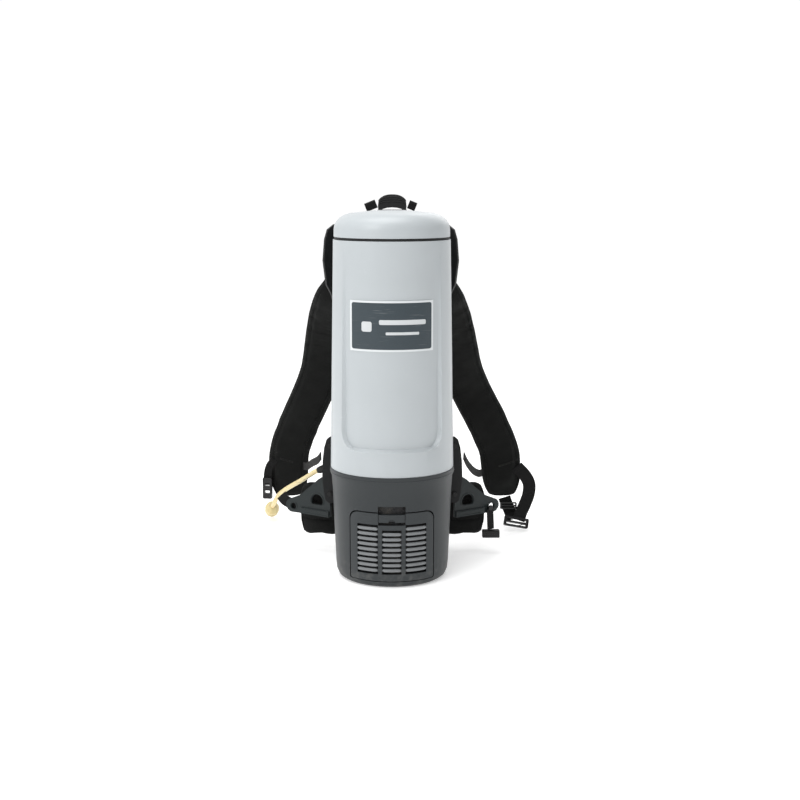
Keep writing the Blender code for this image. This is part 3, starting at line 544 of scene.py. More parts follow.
class Look(Enum):
    """The named finishes of this machine, with the record's slot for each."""

    SHELL = ("shell", Moulded(
        "shell_grey", Tint(188, 194, 197), roughness=0.38, grain=0.000012, marks=0.25, wear=0.15,
        coat=0.10, eased=False))
    BASE = ("base", Moulded(
        "base_grey", Tint(49, 53, 55), roughness=0.46, grain=0.00005, grain_scale=900.0, marks=0.30,
        wear=0.30, foot_dust=0.20, gloss=0.3, eased=False))
    DOOR = ("louvre", Moulded(
        "door_grey", Tint(52, 56, 58), roughness=0.46, grain=0.00005, grain_scale=900.0, marks=0.30,
        wear=0.35, foot_dust=0.20, gloss=0.3, eased=False))
    # painted highlight: the slats are the door's own plastic, given a much lighter grey where they catch the
    # light from above
    LOUVRE = ("louvre", Moulded(
        "louvre_grey", Tint(122, 125, 127), roughness=0.40, grain=0.00003, grain_scale=900.0, marks=0.35,
        wear=0.30))
    FRAME = ("frame", Moulded(
        "frame_black", Tint(23, 24, 25), roughness=0.50, grain=0.00006, grain_scale=800.0, marks=0.35,
        wear=0.45, gloss=0.25))
    WING = ("wing", Moulded(
        "wing_grey", Tint(28, 36, 37), roughness=0.48, grain=0.00005, grain_scale=800.0, marks=0.35,
        wear=0.50, gloss=0.3))
    BUCKLE = ("buckle", Moulded(
        "buckle_black", Tint(20, 20, 21), roughness=0.34, grain=0.00003, grain_scale=1100.0, marks=0.30,
        wear=0.45, edge_radius=0.0006, gloss=0.35))
    RUBBER = ("rubber", Moulded(
        "rubber_black", Tint(34, 34, 34), roughness=0.62, grain=0.00008, grain_scale=700.0, marks=0.30,
        wear=0.30, gloss=0.3))
    COLLAR = ("collar", Moulded(
        "collar_black", Tint(36, 37, 38), roughness=0.44, grain=0.00003, grain_scale=1100.0, marks=0.30,
        wear=0.40))
    MOTOR_CASE = ("motor", Moulded(
        "fan_case_black", Tint(40, 41, 43), roughness=0.50, grain=0.00005, grain_scale=900.0, marks=0.30,
        wear=0.30))
    PAD = ("pad", PaddedCloth("pad_cloth_black", Tint(19, 20, 19)))
    AIR_MESH = ("pad", PaddedCloth("air_mesh_black", Tint(22, 23, 23), 0.0016, 1.6))
    BINDING = ("webbing", Webbing("binding_black", Tint(24, 24, 24), 0.0011, 0.0009))
    WEBBING = ("webbing", Webbing("webbing_black", Tint(22, 22, 22)))
    THREAD = ("webbing", Webbing("thread_grey", Tint(50, 50, 49), 0.0004, 0.0005))
    SCREW = ("screw", TurnedMetal("screw_steel", Tint(196, 196, 192)))
    DARK_SCREW = ("screw", TurnedMetal("screw_blackened", Tint(58, 58, 58), 0.42))
    BRASS = ("brass", TurnedMetal("blade_brass", Tint(204, 172, 108), 0.26))
    MOTOR = ("motor", TurnedMetal("motor_steel", Tint(176, 178, 180), 0.36))
    FAN = ("fan", TurnedMetal("fan_aluminium", Tint(208, 210, 212), 0.32))
    CORD = ("cord", LeadJacket("cord_cream", Tint(240, 222, 168), Tint(176, 150, 96)))
    PLUG = ("plug", LeadJacket("plug_tan", Tint(228, 210, 152), Tint(158, 134, 84)))
    BAG = ("bag", BagPaper("bag_paper", Tint(222, 216, 202)))
    FOAM = ("foam", OpenFoam("filter_foam", Tint(58, 58, 60)))

    @property
    def slot(self) -> str:
        """The record's slot name."""
        return self.value[0]

    def material(self) -> bpy.types.Material:
        """The finish's material, made once."""
        recipe = self.value[1]
        return bpy.data.materials.get(recipe.name) or recipe.build()


# Shapes -------------------------------------------------------------------------

@dataclass(frozen=True)
class Station:
    """One place along a run: where it is, and which way it goes, spreads and faces."""

    point: Vector
    ahead: Vector
    side: Vector
    face: Vector
    run: float


def curve_through(points: Sequence[Sequence[float]], per_span: int) -> list[Vector]:
    """Read points off a smooth curve.

    Args:
        points: The points it passes through.
        per_span: How many steps each span is cut in.

    Returns:
        The points along the curve.
    """
    given = [Vector(p) for p in points]
    padded = [2 * given[0] - given[1], *given, 2 * given[-1] - given[-2]]
    made = []
    for a, b, c, d in zip(padded, padded[1:], padded[2:], padded[3:]):
        for i in range(per_span):
            t = i / per_span
            made.append(0.5 * (2 * b + (c - a) * t + (2 * a - 5 * b + 4 * c - d) * t ** 2
                               + (3 * b - a - 3 * c + d) * t ** 3))
    made.append(given[-1])
    return made


def turn_angles(count: int) -> list[float]:
    """Evenly spaced angles round one turn, in radians."""
    return [2 * math.pi * i / count for i in range(count)]


def course(points: Sequence[Vector], face: Union[Place, Sequence[Vector]]) -> list[Station]:
    """Set up the stations along a run of points.

    Args:
        points: The run's points.
        face: The direction that the run's flat side faces, or one for each point.

    Returns:
        The stations.
    """
    made, run, last = [], 0.0, len(points) - 1
    for i, point in enumerate(points):
        ahead = (points[min(i + 1, last)] - points[max(i - 1, 0)]).normalized()
        wanted = Vector(face[i] if isinstance(face[0], Vector) else face)
        side = ahead.cross(wanted).normalized()
        run += (point - points[i - 1]).length if i else 0.0
        made.append(Station(point, ahead, side, side.cross(ahead).normalized(), run))
    return made


def link_mesh(name: str, mesh: bpy.types.Mesh, sharp: float = 38.0) -> bpy.types.Object:
    """Put a mesh in the scene, shaded smooth with its sharp edges kept."""
    mesh.shade_smooth()
    mesh.set_sharp_from_angle(angle=math.radians(sharp))
    obj = bpy.data.objects.new(name, mesh)
    bpy.context.scene.collection.objects.link(obj)
    return obj


def sweep(name: str, stations: Sequence[Station], section: Sequence[tuple[float, float]],
          loop: bool = False, size: Optional[Callable[[float], float]] = None) -> bpy.types.Object:
    """Carry a section along a run, and give it strip coordinates in metres.

    Args:
        name: The piece's name.
        stations: The run.
        section: The section's points, across and out of the flat side.
        loop: True if the run joins up with its start.
        size: The section's scale for a share of the run.

    Returns:
        The swept object.
    """
    work = bmesh.new()
    strip = work.loops.layers.uv.new("strip")
    count, total = len(section), max(stations[-1].run, 1e-6)
    around = [0.0]
    for i in range(count):
        (u0, v0), (u1, v1) = section[i], section[(i + 1) % count]
        around.append(around[-1] + math.hypot(u1 - u0, v1 - v0))
    rings = []
    for st in stations:
        k = size(st.run / total) if size else 1.0
        rings.append([work.verts.new(st.point + st.side * (u * k) + st.face * (v * k)) for u, v in section])
    spans = len(rings) if loop else len(rings) - 1
    for i in range(spans):
        j = (i + 1) % len(rings)
        run_i = stations[i].run
        run_j = stations[j].run if j else run_i + (stations[0].point - stations[i].point).length
        for n in range(count):
            m = (n + 1) % count
            quad = work.faces.new((rings[i][n], rings[i][m], rings[j][m], rings[j][n]))
            marks = ((around[n], run_i), (around[n + 1], run_i), (around[n + 1], run_j), (around[n], run_j))
            for corner, mark in zip(quad.loops, marks):
                corner[strip].uv = mark
    if not loop:
        work.faces.new(rings[0])
        work.faces.new(list(reversed(rings[-1])))
    bmesh.ops.recalc_face_normals(work, faces=work.faces)
    mesh = bpy.data.meshes.new(name)
    work.to_mesh(mesh)
    work.free()
    return link_mesh(name, mesh)


def oval(half_across: float, half_out: float, count: int = 12) -> list[tuple[float, float]]:
    """An oval section."""
    turn = 2 * math.pi / count
    return [(half_across * math.cos(i * turn), half_out * math.sin(i * turn)) for i in range(count)]


def flat_section(width: float, thickness: float) -> list[tuple[float, float]]:
    """A strap's section: flat faces, a thicker rolled edge on each side."""
    w, t = width / 2, thickness / 2
    upper = [(-w * 0.97, t * 0.75), (-w * 0.90, t * 1.0), (-w * 0.80, t * 0.80), (-w * 0.35, t * 0.86),
             (w * 0.35, t * 0.86), (w * 0.80, t * 0.80), (w * 0.90, t * 1.0), (w * 0.97, t * 0.75)]
    lower = [(u, -v) for u, v in reversed(upper)]
    return [(-w, 0.0)] + upper + [(w, 0.0)] + lower


def turned(name: str, profile: Sequence[tuple[float, float]], steps: int,
           ripple: Optional[Callable[[float, float], float]] = None) -> bpy.types.Object:
    """Turn a profile about Z.

    Args:
        name: The piece's name.
        profile: Radius and height from one end to the other.
        steps: How many steps round.
        ripple: A factor on the radius for an angle and a height.

    Returns:
        The turned object.
    """
    work = bmesh.new()
    rings = []
    for r, z in profile:
        ring = []
        for i in range(steps):
            a = 2 * math.pi * i / steps
            k = ripple(a, z) if ripple else 1.0
            ring.append(work.verts.new((r * k * math.cos(a), r * k * math.sin(a), z)))
        rings.append(ring)
    for low, high in zip(rings, rings[1:]):
        for i in range(steps):
            j = (i + 1) % steps
            work.faces.new((low[i], low[j], high[j], high[i]))
    work.faces.new(rings[0])
    work.faces.new(list(reversed(rings[-1])))
    bmesh.ops.recalc_face_normals(work, faces=work.faces)
    mesh = bpy.data.meshes.new(name)
    work.to_mesh(mesh)
    work.free()
    return link_mesh(name, mesh)


def joined(name: str, parts: Sequence[bpy.types.Object]) -> bpy.types.Object:
    """Make one object of several, and remove them."""
    work = bmesh.new()
    for part in parts:
        mesh = part.data.copy()
        mesh.transform(part.matrix_basis)
        work.from_mesh(mesh)
        bpy.data.meshes.remove(mesh)
    for part in parts:
        bpy.data.objects.remove(part)
    mesh = bpy.data.meshes.new(name)
    work.to_mesh(mesh)
    work.free()
    return link_mesh(name, mesh)


def stitches(name: str, lines: Iterable[Sequence[tuple[Vector, Vector]]], length: float = 0.0030,
             pitch: float = 0.0048, thickness: float = 0.00042) -> bpy.types.Object:
    """Sew rows of thread along lines that lie on a surface.

    Args:
        name: The piece's name.
        lines: Each line's points with the surface's normal at each.
        length: A stitch's length.
        pitch: The distance from one stitch to the next.
        thickness: Half the thread's thickness.

    Returns:
        One object with every stitch.
    """
    work = bmesh.new()
    for line in lines:
        if len(line) < 2:
            continue
        due = pitch / 2
        run = 0.0
        for (a, normal), (b, _) in zip(line, line[1:]):
            span = (b - a).length
            if span < 1e-6:
                continue
            ahead = (b - a) / span
            while run + span > due:
                middle = a + ahead * (due - run) + normal * thickness * 0.25
                side = ahead.cross(normal).normalized()
                turn = Matrix((ahead, side, ahead.cross(side))).transposed().to_4x4()
                scale = Matrix.Diagonal((length / 2, thickness * 1.3, thickness, 1.0))
                bmesh.ops.create_uvsphere(work, u_segments=6, v_segments=4, radius=1.0,
                                          matrix=Matrix.Translation(middle) @ turn @ scale)
                due += pitch
            run += span
    mesh = bpy.data.meshes.new(name)
    work.to_mesh(mesh)
    work.free()
    return link_mesh(name, mesh, 80.0)


def dress(obj: bpy.types.Object, look: Look, body: str = "machine") -> bpy.types.Object:
    """Give a made piece its finish, and let it ride on a body."""
    obj.data.materials.clear()
    obj.data.materials.append(look.material())
    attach(obj, body)
    LOG.info("%s: %s on %s", obj.name, look.name.lower(), body)
    return obj


def facet_easer() -> bpy.types.NodeTree:
    """The modifier tree that shades round faces smooth and keeps edges crisp, made once."""
    made = bpy.data.node_groups.get("facet_easer")
    if made:
        return made
    g = ShapeGraph("facet_easer")
    welded = g.node("GeometryNodeMergeByDistance", {}, {"Geometry": g.shape, "Distance": WELD_REACH})
    angle = g.node("GeometryNodeInputMeshEdgeAngle", {}, {}).outputs["Unsigned Angle"]
    crisp = g.node("FunctionNodeCompare", {"operation": "GREATER_THAN"}, {0: angle, 1: CRISP_ANGLE})
    eased = g.node("GeometryNodeSetMeshNormal", {}, {
        "Mesh": welded.outputs[0], "Remove Custom": True,
        "Edge Sharpness": crisp.outputs[0], "Face Sharpness": False})
    g.give(eased.outputs[0])
    return g.tree


def finish_node(node: bpy.types.Object, material: bpy.types.Material) -> None:
    """Give a CAD node its material in its own slots, and ease its facets by a modifier."""
    easer = node.modifiers.new("facet_easer", "NODES")
    easer.node_group = facet_easer()
    for place in node.material_slots:
        place.material = material


def dress_nodes(look: Look, *names: str) -> None:
    """Give CAD nodes a finish."""
    for name in names:
        finish_node(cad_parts[name], look.material())
        LOG.info("%s: %s", name, look.name.lower())


# Padding ------------------------------------------------------------------------

@dataclass
class Padding:
    """A foam piece covered in cloth: blown up from its CAD solid, then sewn down along seams."""

    node: str
    name: str
    look: Look
    voxel: float = 0.0048
    pressure: float = 4.0
    cap: float = 0.004
    fill: float = 0.6
    obj: bpy.types.Object = field(init=False)

    def _baked(self, obj: bpy.types.Object) -> bpy.types.Mesh:
        """The object's mesh with its modifiers in effect."""
        graph = bpy.context.evaluated_depsgraph_get()
        return bpy.data.meshes.new_from_object(obj.evaluated_get(graph))

    def _swap(self, mesh: bpy.types.Mesh) -> None:
        """Put a new mesh on the object, and drop its modifiers."""
        self.obj.modifiers.clear()
        self.obj.data = mesh

    def build(self, sew: Callable[[np.ndarray, np.ndarray], np.ndarray]) -> bpy.types.Object:
        """Make the piece.

        Args:
            sew: Gives the depth of the seams in metres, for arrays of points and normals.

        Returns:
            The finished pad.
        """
        self.obj = bpy.data.objects.new(self.name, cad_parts[self.node].data.copy())
        bpy.context.scene.collection.objects.link(self.obj)
        remesh = self.obj.modifiers.new("even_cloth", "REMESH")
        remesh.mode = "VOXEL"
        remesh.voxel_size = self.voxel
        self._swap(self._baked(self.obj))
        smooth = self.obj.modifiers.new("ease", "SMOOTH")
        smooth.factor, smooth.iterations = 0.5, 3
        self._swap(self._baked(self.obj))
        self._blow_up()
        finer = self.obj.modifiers.new("finer", "SUBSURF")
        finer.levels = finer.render_levels = 1
        self._swap(self._baked(self.obj))
        mesh = self.obj.data
        co = np.zeros(len(mesh.vertices) * 3, np.float32)
        mesh.vertices.foreach_get("co", co)
        co = co.reshape(-1, 3).astype(float)
        normals = np.array([v.normal for v in mesh.vertices], float).reshape(-1, 3)
        co -= normals * sew(co, normals)[:, None]
        mesh.vertices.foreach_set("co", co.astype(np.float32).ravel())
        mesh.update()
        mesh.shade_smooth()
        dress(self.obj, self.look)
        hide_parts(self.node)
        return self.obj

    def _blow_up(self) -> None:
        """Let the cloth swell under pressure for twenty frames, within the cap."""
        scene = bpy.context.scene
        cloth = self.obj.modifiers.new("fill", "CLOTH")
        settings = cloth.settings
        settings.quality = 5
        settings.use_pressure = True
        settings.uniform_pressure_force = self.pressure
        settings.tension_stiffness = 18
        settings.compression_stiffness = 18
        settings.bending_stiffness = 0.6
        settings.effector_weights.gravity = 0.0
        scene.frame_start, scene.frame_end = 1, 20
        for number in range(1, 21):
            scene.frame_set(number)
        rest = np.array([v.co for v in self.obj.data.vertices], float)
        blown = self._baked(self.obj)
        moved = np.array([v.co for v in blown.vertices], float) - rest
        far = np.linalg.norm(moved, axis=1, keepdims=True)
        moved *= np.minimum(1.0, self.cap / np.maximum(far, 1e-9))
        blown.vertices.foreach_set("co", (rest + moved).astype(np.float32).ravel())
        blown.update()
        self._swap(blown)
        scene.frame_set(1)


def groove(distance: np.ndarray, width: float, depth: float) -> np.ndarray:
    """A sewn channel's depth at a distance from its line."""
    return depth * np.exp(-(distance / width) ** 2)


def outline_on(tree: BVHTree, origins: Sequence[Vector],
               ways: Sequence[Vector]) -> list[tuple[Vector, Vector]]:
    """Find where rays meet a pad.

    Args:
        tree: The pad's search tree.
        origins: Where the rays start.
        ways: Which way they go.

    Returns:
        Each meeting point with the surface's normal.
    """
    found = []
    for origin, way in zip(origins, ways):
        hit, normal, _, _ = tree.ray_cast(origin, way, 0.2)
        if hit is not None:
            found.append((hit, normal))
    return found


def search_tree(obj: bpy.types.Object) -> BVHTree:
    """A search tree over a mesh object at rest."""
    bpy.context.view_layer.update()
    return BVHTree.FromObject(obj, bpy.context.evaluated_depsgraph_get())


# Sub-assemblies -----------------------------------------------------------------

@dataclass
class Studio:
    """The pale floor, the soft lights and the camera."""

    eye: Place = (0.0122, -2.0, 0.601)
    tilt_deg: float = 9.36
    lens: float = 59.85
    floor_half: float = 14.0
    floor_lift: float = 0.36
    wall_light: float = 0.64
    wall_slant: float = 0.22

    def build(self) -> None:
        """Make the whole setting."""
        self._camera()
        self._floor()
        self._light("key", (-1.9, -2.2, 2.4), (0, 0, 0.30), 1.6, 42.0)
        self._light("top", (-0.3, -0.1, 2.6), (0, 0.0, 0.2), 1.6, 36.0)
        self._light("back", (1.0, 2.6, 1.8), (0, 0, 0.30), 1.8, 10.0)
        world = bpy.data.worlds.new("studio_air")
        bpy.context.scene.world = world
        g = Graph("studio_air", world)
        toward = g.node("ShaderNodeTexCoord", {}, {}).outputs["Generated"]
        x, y, _ = g.axes(toward)
        behind = y.ramp(0.30, 0.75)
        walls = (self.wall_light - self.wall_slant * x) * (1.0 - behind) + 1.02 * behind
        g.feed(g.shader.inputs["Strength"], walls)
        g.shader.inputs["Color"].default_value = (1.0, 1.0, 1.0, 1.0)
        bpy.context.scene.view_settings.view_transform = "Standard"

    def _camera(self) -> None:
        """Put the camera in front, a little above, looking slightly down."""
        data = bpy.data.cameras.new("front_camera")
        data.sensor_width = 36.0
        data.lens = self.lens
        obj = bpy.data.objects.new("front_camera", data)
        bpy.context.scene.collection.objects.link(obj)
        obj.location = self.eye
        obj.rotation_euler = (math.radians(90 - self.tilt_deg), 0, 0)
        bpy.context.scene.camera = obj

    def _light(self, name: str, place: Place, target: Place, size: float, power: float) -> None:
        """Hang a square soft light, aimed at a point."""
        data = bpy.data.lights.new(name, "AREA")
        data.size = size
        data.energy = power
        obj = bpy.data.objects.new(name, data)
        bpy.context.scene.collection.objects.link(obj)
        obj.location = place
        obj.rotation_euler = (Vector(target) - Vector(place)).to_track_quat("-Z", "Y").to_euler()

    def _floor(self) -> None:
        """Lay the floor, a plain pale sheet with very faint unevenness."""
        work = bmesh.new()
        bmesh.ops.create_grid(work, x_segments=2, y_segments=2, size=self.floor_half)
        mesh = bpy.data.meshes.new("floor")
        work.to_mesh(mesh)
        work.free()
        floor = link_mesh("floor", mesh)
        floor.location.z = -0.0004
        g = Graph("floor_white")
        haze = g.noise(g.coords(), 3.0, 2.0)
        g.feed(g.shader.inputs["Base Color"], g.blend(haze, (0.90, 0.90, 0.90, 1.0), (0.93, 0.93, 0.93, 1.0)))
        g.shader.inputs["Roughness"].default_value = 0.9
        g.shader.inputs["Emission Color"].default_value = (1.0, 1.0, 1.0, 1.0)
        g.shader.inputs["Emission Strength"].default_value = self.floor_lift
        mesh.materials.append(g.material)


@dataclass
class PowerLead:
    """The short captive lead: strain relief, jacketed cord and moulded three-pin plug."""

    route: tuple[Place, ...] = (
        (-0.1190, 0.0940, 0.1412), (-0.1254, 0.1010, 0.1372), (-0.1395, 0.1300, 0.1228),
        (-0.1540, 0.1590, 0.1086), (-0.1690, 0.1870, 0.0950), (-0.1840, 0.2160, 0.0805),
        (-0.1950, 0.2390, 0.0680), (-0.2020, 0.2540, 0.0570), (-0.2075, 0.2685, 0.0455),
        (-0.2125, 0.2880, 0.0345),
    )
    plug_tip: Place = (-0.2190, 0.3330, 0.0152)
    radius: float = 0.0039
    plug_radius: float = 0.0122

    def build(self) -> None:
        """Make the cord and what is on it."""
        points = curve_through(self.route, 3)
        curve = bpy.data.curves.new("lead_cord", "CURVE")
        curve.dimensions = "3D"
        curve.bevel_depth = self.radius
        curve.bevel_resolution = 5
        curve.use_fill_caps = True
        spline = curve.splines.new("POLY")
        spline.points.add(len(points) - 1)
        for target, point in zip(spline.points, points):
            target.co = (*point, 1.0)
        spline.use_smooth = True
        cord = bpy.data.objects.new("lead_cord", curve)
        bpy.context.scene.collection.objects.link(cord)
        dress(cord, Look.CORD)
        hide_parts("power_cord")
        plug = self._plug()
        grips = self._plug_grips()
        length = sum((b - a).length for a, b in zip(points, points[1:]))
        self._relief_rings()
        dress_nodes(Look.RUBBER, "cord_gland")
        dress_nodes(Look.BRASS, "plug_blade_line", "plug_blade_neutral", "plug_earth_pin")

    def _axis(self) -> tuple[Vector, Vector, float]:
        """The plug's neck, its direction and its length."""
        neck, tip = Vector(self.route[-1]), Vector(self.plug_tip)
        ahead = (tip - neck).normalized()
        return neck + ahead * 0.0009, ahead, (tip - neck).length - 0.0009

    def _lathe(self, name: str, rings: Sequence[tuple[float, float]], steps: int) -> bpy.types.Object:
        """Turn a profile about the plug's axis, from neck to face."""
        neck, ahead, length = self._axis()
        obj = turned(name, [(r, share * length) for share, r in rings], steps)
        obj.data.transform(Matrix.Translation(neck) @ ahead.to_track_quat("Z", "Y").to_matrix().to_4x4())
        return obj

    def _plug(self) -> bpy.types.Object:
        """The plug's body, with its tapered sleeve, shoulder and rounded face edge."""
        rings = [(0.0, 0.0001), (0.0, 0.0052), (0.03, 0.0060), (0.20, 0.0068), (0.30, 0.0084), (0.36, 0.0106),
                 (0.42, 0.0118), (0.50, self.plug_radius), (0.74, 0.0120), (0.90, self.plug_radius),
                 (0.965, self.plug_radius), (0.99, 0.0116), (1.0, 0.0108), (1.0, 0.0001)]
        plug = dress(self._lathe("plug_moulding", rings, 40), Look.PLUG)
        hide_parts("plug_body")
        return plug

    def _plug_grips(self) -> bpy.types.Object:
        """Rings moulded round the sleeve, and finger ribs along the body."""
        neck, ahead, length = self._axis()
        parts = []
        turn = ahead.to_track_quat("Z", "Y").to_matrix()
        for share, radius in ((0.06, 0.0061), (0.11, 0.0063), (0.16, 0.0066), (0.21, 0.0069)):
            centre = neck + ahead * share * length
            ring = [centre + turn @ Vector((radius * math.cos(a), radius * math.sin(a), 0))
                    for a in turn_angles(24)]
            faces = [(p - centre).normalized() for p in ring]
            stations = [Station(p, ahead, ahead, f, 0.0) for p, f in zip(ring, faces)]
            parts.append(sweep("sleeve_ring", stations, oval(0.0008, 0.0005, 8), loop=True))
        for i in range(10):
            a = 2 * math.pi * (i + 0.5) / 10
            out = turn @ Vector((math.cos(a), math.sin(a), 0))
            line = [neck + ahead * (length * share) + out * self.plug_radius * 0.985
                    for share in (0.56, 0.68, 0.80, 0.88)]
            parts.append(sweep("finger_rib", course(line, tuple(out)), oval(0.0010, 0.0006, 8)))
        return dress(joined("plug_grips", parts), Look.PLUG)

    def _relief_rings(self) -> None:
        """Flexing grooves' lips round the tapered strain relief at the machine."""
        start, after = Vector(self.route[0]), Vector(curve_through(self.route, 2)[1])
        back = (start - after).normalized()
        turn = back.to_track_quat("Z", "Y").to_matrix()
        parts = []
        for step, radius in ((0.004, 0.0054), (0.008, 0.0057), (0.012, 0.0060), (0.016, 0.0063)):
            centre = start + back * step
            ring = [centre + turn @ Vector((radius * math.cos(a), radius * math.sin(a), 0))
                    for a in turn_angles(24)]
            stations = [Station(p, back, back, (p - centre).normalized(), 0.0) for p in ring]
            parts.append(sweep("relief_ring", stations, oval(0.0009, 0.0005, 8), loop=True))
        dress(joined("relief_rings", parts), Look.RUBBER)


@dataclass
class Canister:
    """The grey canister: its shell, gasket, lid, hose inlet and label plate."""

    collar_ribs: int = 18
    rib_drops: tuple[float, ...] = (0.0048, 0.0034, 0.0020, 0.0010)

    def build(self) -> None:
        """Dress the shell and lid, and add the fine parts."""
        dress_nodes(Look.SHELL, "main_shell", "lid_cap")
        dress_nodes(Look.RUBBER, "lid_gasket", "inlet_spigot")
        dress_nodes(Look.COLLAR, "hose_swivel_collar")
        low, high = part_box("label_plate")
        printed = LabelPrint("label_print", tuple(low), tuple(high)).build()
        finish_node(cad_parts["label_plate"], printed)
        self._collar_ribs()

    def _collar_ribs(self) -> None:
        """Finger ribs round the swivel collar, riding on the hose collar's body."""
        low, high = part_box("hose_swivel_collar")
        centre = (low + high) / 2
        radius = (high.x - low.x) / 2
        parts = []
        top = high.z
        for a in turn_angles(self.collar_ribs):
            out = Vector((math.cos(a), math.sin(a), 0))
            base = Vector((centre.x, centre.y, 0)) + out * (radius - 0.0012)
            line = [base + Vector((0, 0, top - drop)) for drop in self.rib_drops]
            parts.append(sweep("collar_rib", course(line, tuple(out)), oval(0.0008, 0.0009, 8)))
        dress(joined("collar_finger_ribs", parts), Look.COLLAR, "hose_collar")


def slat_taper(share: float) -> float:
    """A slat's scale for a share of its length: it narrows at both ends."""
    return min(1.0, 0.45 + 9.0 * min(share, 1.0 - share))


@dataclass
class MotorBase:
    """The dark motor base: its exhaust door with louvres, its latch, filter and switch."""

    rim_profile: tuple[tuple[float, float], ...] = (
        (0.0928, 0.1570), (0.0912, 0.1350), (0.0898, 0.1000), (0.0884, 0.0600), (0.0868, 0.0230),
        (0.0855, 0.0110),
    )
    columns: tuple[tuple[float, float, float, int], ...] = (
        (-0.0515, -0.0205, 0.0215, 10), (-0.0145, 0.0145, 0.0215, 9), (0.0205, 0.0515, 0.0215, 10),
    )
    slat_pitch: float = 0.0080
    slot_height: float = 0.0044
    slat_bulge: float = 0.0016
    slat_half: float = 0.0025

    def build(self) -> None:
        """Dress the base and its door, and add the louvres' rounded slats."""
        dress_nodes(Look.BASE, "base_housing", "door_latch")
        dress_nodes(Look.DOOR, "exhaust_door")
        dress_nodes(Look.FOAM, "exhaust_filter")
        dress_nodes(Look.COLLAR, "switch_bezel", "switch_rocker")
        self._slats()
        self._seam_bead()

    def _radius(self, z: float) -> float:
        """The base's outer radius at a height."""
        heights = [h for _, h in reversed(self.rim_profile)]
        return float(np.interp(z, heights, [r for r, _ in reversed(self.rim_profile)]))

    def _on_front(self, x: float, z: float, proud: float) -> Vector:
        """A point on the base's front at a place across and a height."""
        radius = self._radius(z) + proud
        return Vector((x, -math.sqrt(radius ** 2 - x ** 2), z))

    def _slats(self) -> None:
        """A rounded slat on each bar between two slots, in the door's plastic but a lighter grey as painted
        highlight.
        """
        parts = []
        half_bar = (self.slat_pitch - self.slot_height) / 2
        for x0, x1, z0, count in self.columns:
            for i in range(count - 1):
                z = z0 + i * self.slat_pitch + self.slot_height + half_bar
                places = [x0 + 0.0006 + (x1 - x0 - 0.0012) * n / 12 for n in range(13)]
                line = [self._on_front(x, z, -0.0004) for x in places]
                outs = [Vector((p.x, p.y, 0)).normalized() for p in line]
                section = [(self.slat_half * math.cos(a), max(self.slat_bulge * math.sin(a), -0.0006))
                           for a in turn_angles(16)]
                parts.append(sweep("slat", course(line, outs), section, size=slat_taper))
        # the slats' lighter grey is painted highlight, not a different plastic
        dress(joined("louvre_slats", parts), Look.LOUVRE, "exhaust_door")

    def _seam_bead(self) -> None:
        """A fine moulded bead round the base, just under its rim."""
        ring = []
        for a in turn_angles(96):
            ring.append((Vector((math.cos(a), math.sin(a), 0)), Vector((-math.sin(a), math.cos(a), 0))))
        stations = [Station(out * 0.0949 + Vector((0, 0, 0.1640)), ahead, Vector((0, 0, 1)), out, 0.0)
                    for out, ahead in ring]
        dress(sweep("rim_bead", stations, oval(0.0007, 0.0005, 8), loop=True), Look.BASE)


@dataclass
class MotorUnit:
    """What is inside: the motor with its fan, the bulkhead and seals, and the filter bag."""

    bag_folds: int = 9
    bag_steps: int = 60
    bag_shares: tuple[tuple[float, float], ...] = (
        (0.0, 0.02), (0.0, 0.55), (0.006, 0.80), (0.02, 0.92), (0.06, 0.98), (0.14, 1.0), (0.26, 0.985),
        (0.40, 1.0), (0.54, 0.985), (0.68, 1.0), (0.80, 0.99), (0.88, 0.95), (0.94, 0.86), (0.975, 0.70),
        (0.99, 0.50), (1.0, 0.30), (1.0, 0.02),
    )

    def build(self) -> None:
        """Dress the inner parts and make the paper bag."""
        dress_nodes(Look.MOTOR, "motor_can", "motor_shaft")
        dress_nodes(Look.FAN, "fan_impeller")
        dress_nodes(Look.MOTOR_CASE, "fan_housing", "motor_bulkhead", "bag_collar")
        dress_nodes(Look.RUBBER, "motor_seal_ring")
        dress_nodes(Look.FOAM, "pre_motor_filter")
        self._bag()

    def _bag(self) -> None:
        """The filter bag: gathered at its collar, folded at its foot, creased down its sides."""
        low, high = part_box("filter_bag")
        centre = (low + high) / 2
        radius = (high.x - low.x) / 2 - 0.0012
        tall = high.z - low.z
        heights, radii = [s for s, _ in self.bag_shares], [r for _, r in self.bag_shares]
        profile = []
        for i in range(self.bag_steps + 1):
            share = i / self.bag_steps
            profile.append((radius * float(np.interp(share, heights, radii)),
                            low.z + tall * (0.002 + 0.996 * share)))
        profile = [(0.0006, profile[0][1])] + profile + [(0.0006, profile[-1][1])]

        def crease(angle: float, z: float) -> float:
            """Shallow pleats that deepen towards the collar."""
            up = (z - low.z) / tall
            pleat = abs(math.sin(self.bag_folds * angle / 2 + 0.9 * math.sin(7 * up + angle)))
            return 1.0 - (0.020 + 0.045 * up ** 3) * (1.0 - pleat) ** 2

        bag = turned("paper_bag", profile, 96, crease)
        bag.data.transform(Matrix.Translation((centre.x, centre.y, 0)))
        dress(bag, Look.BAG)
        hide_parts("filter_bag")


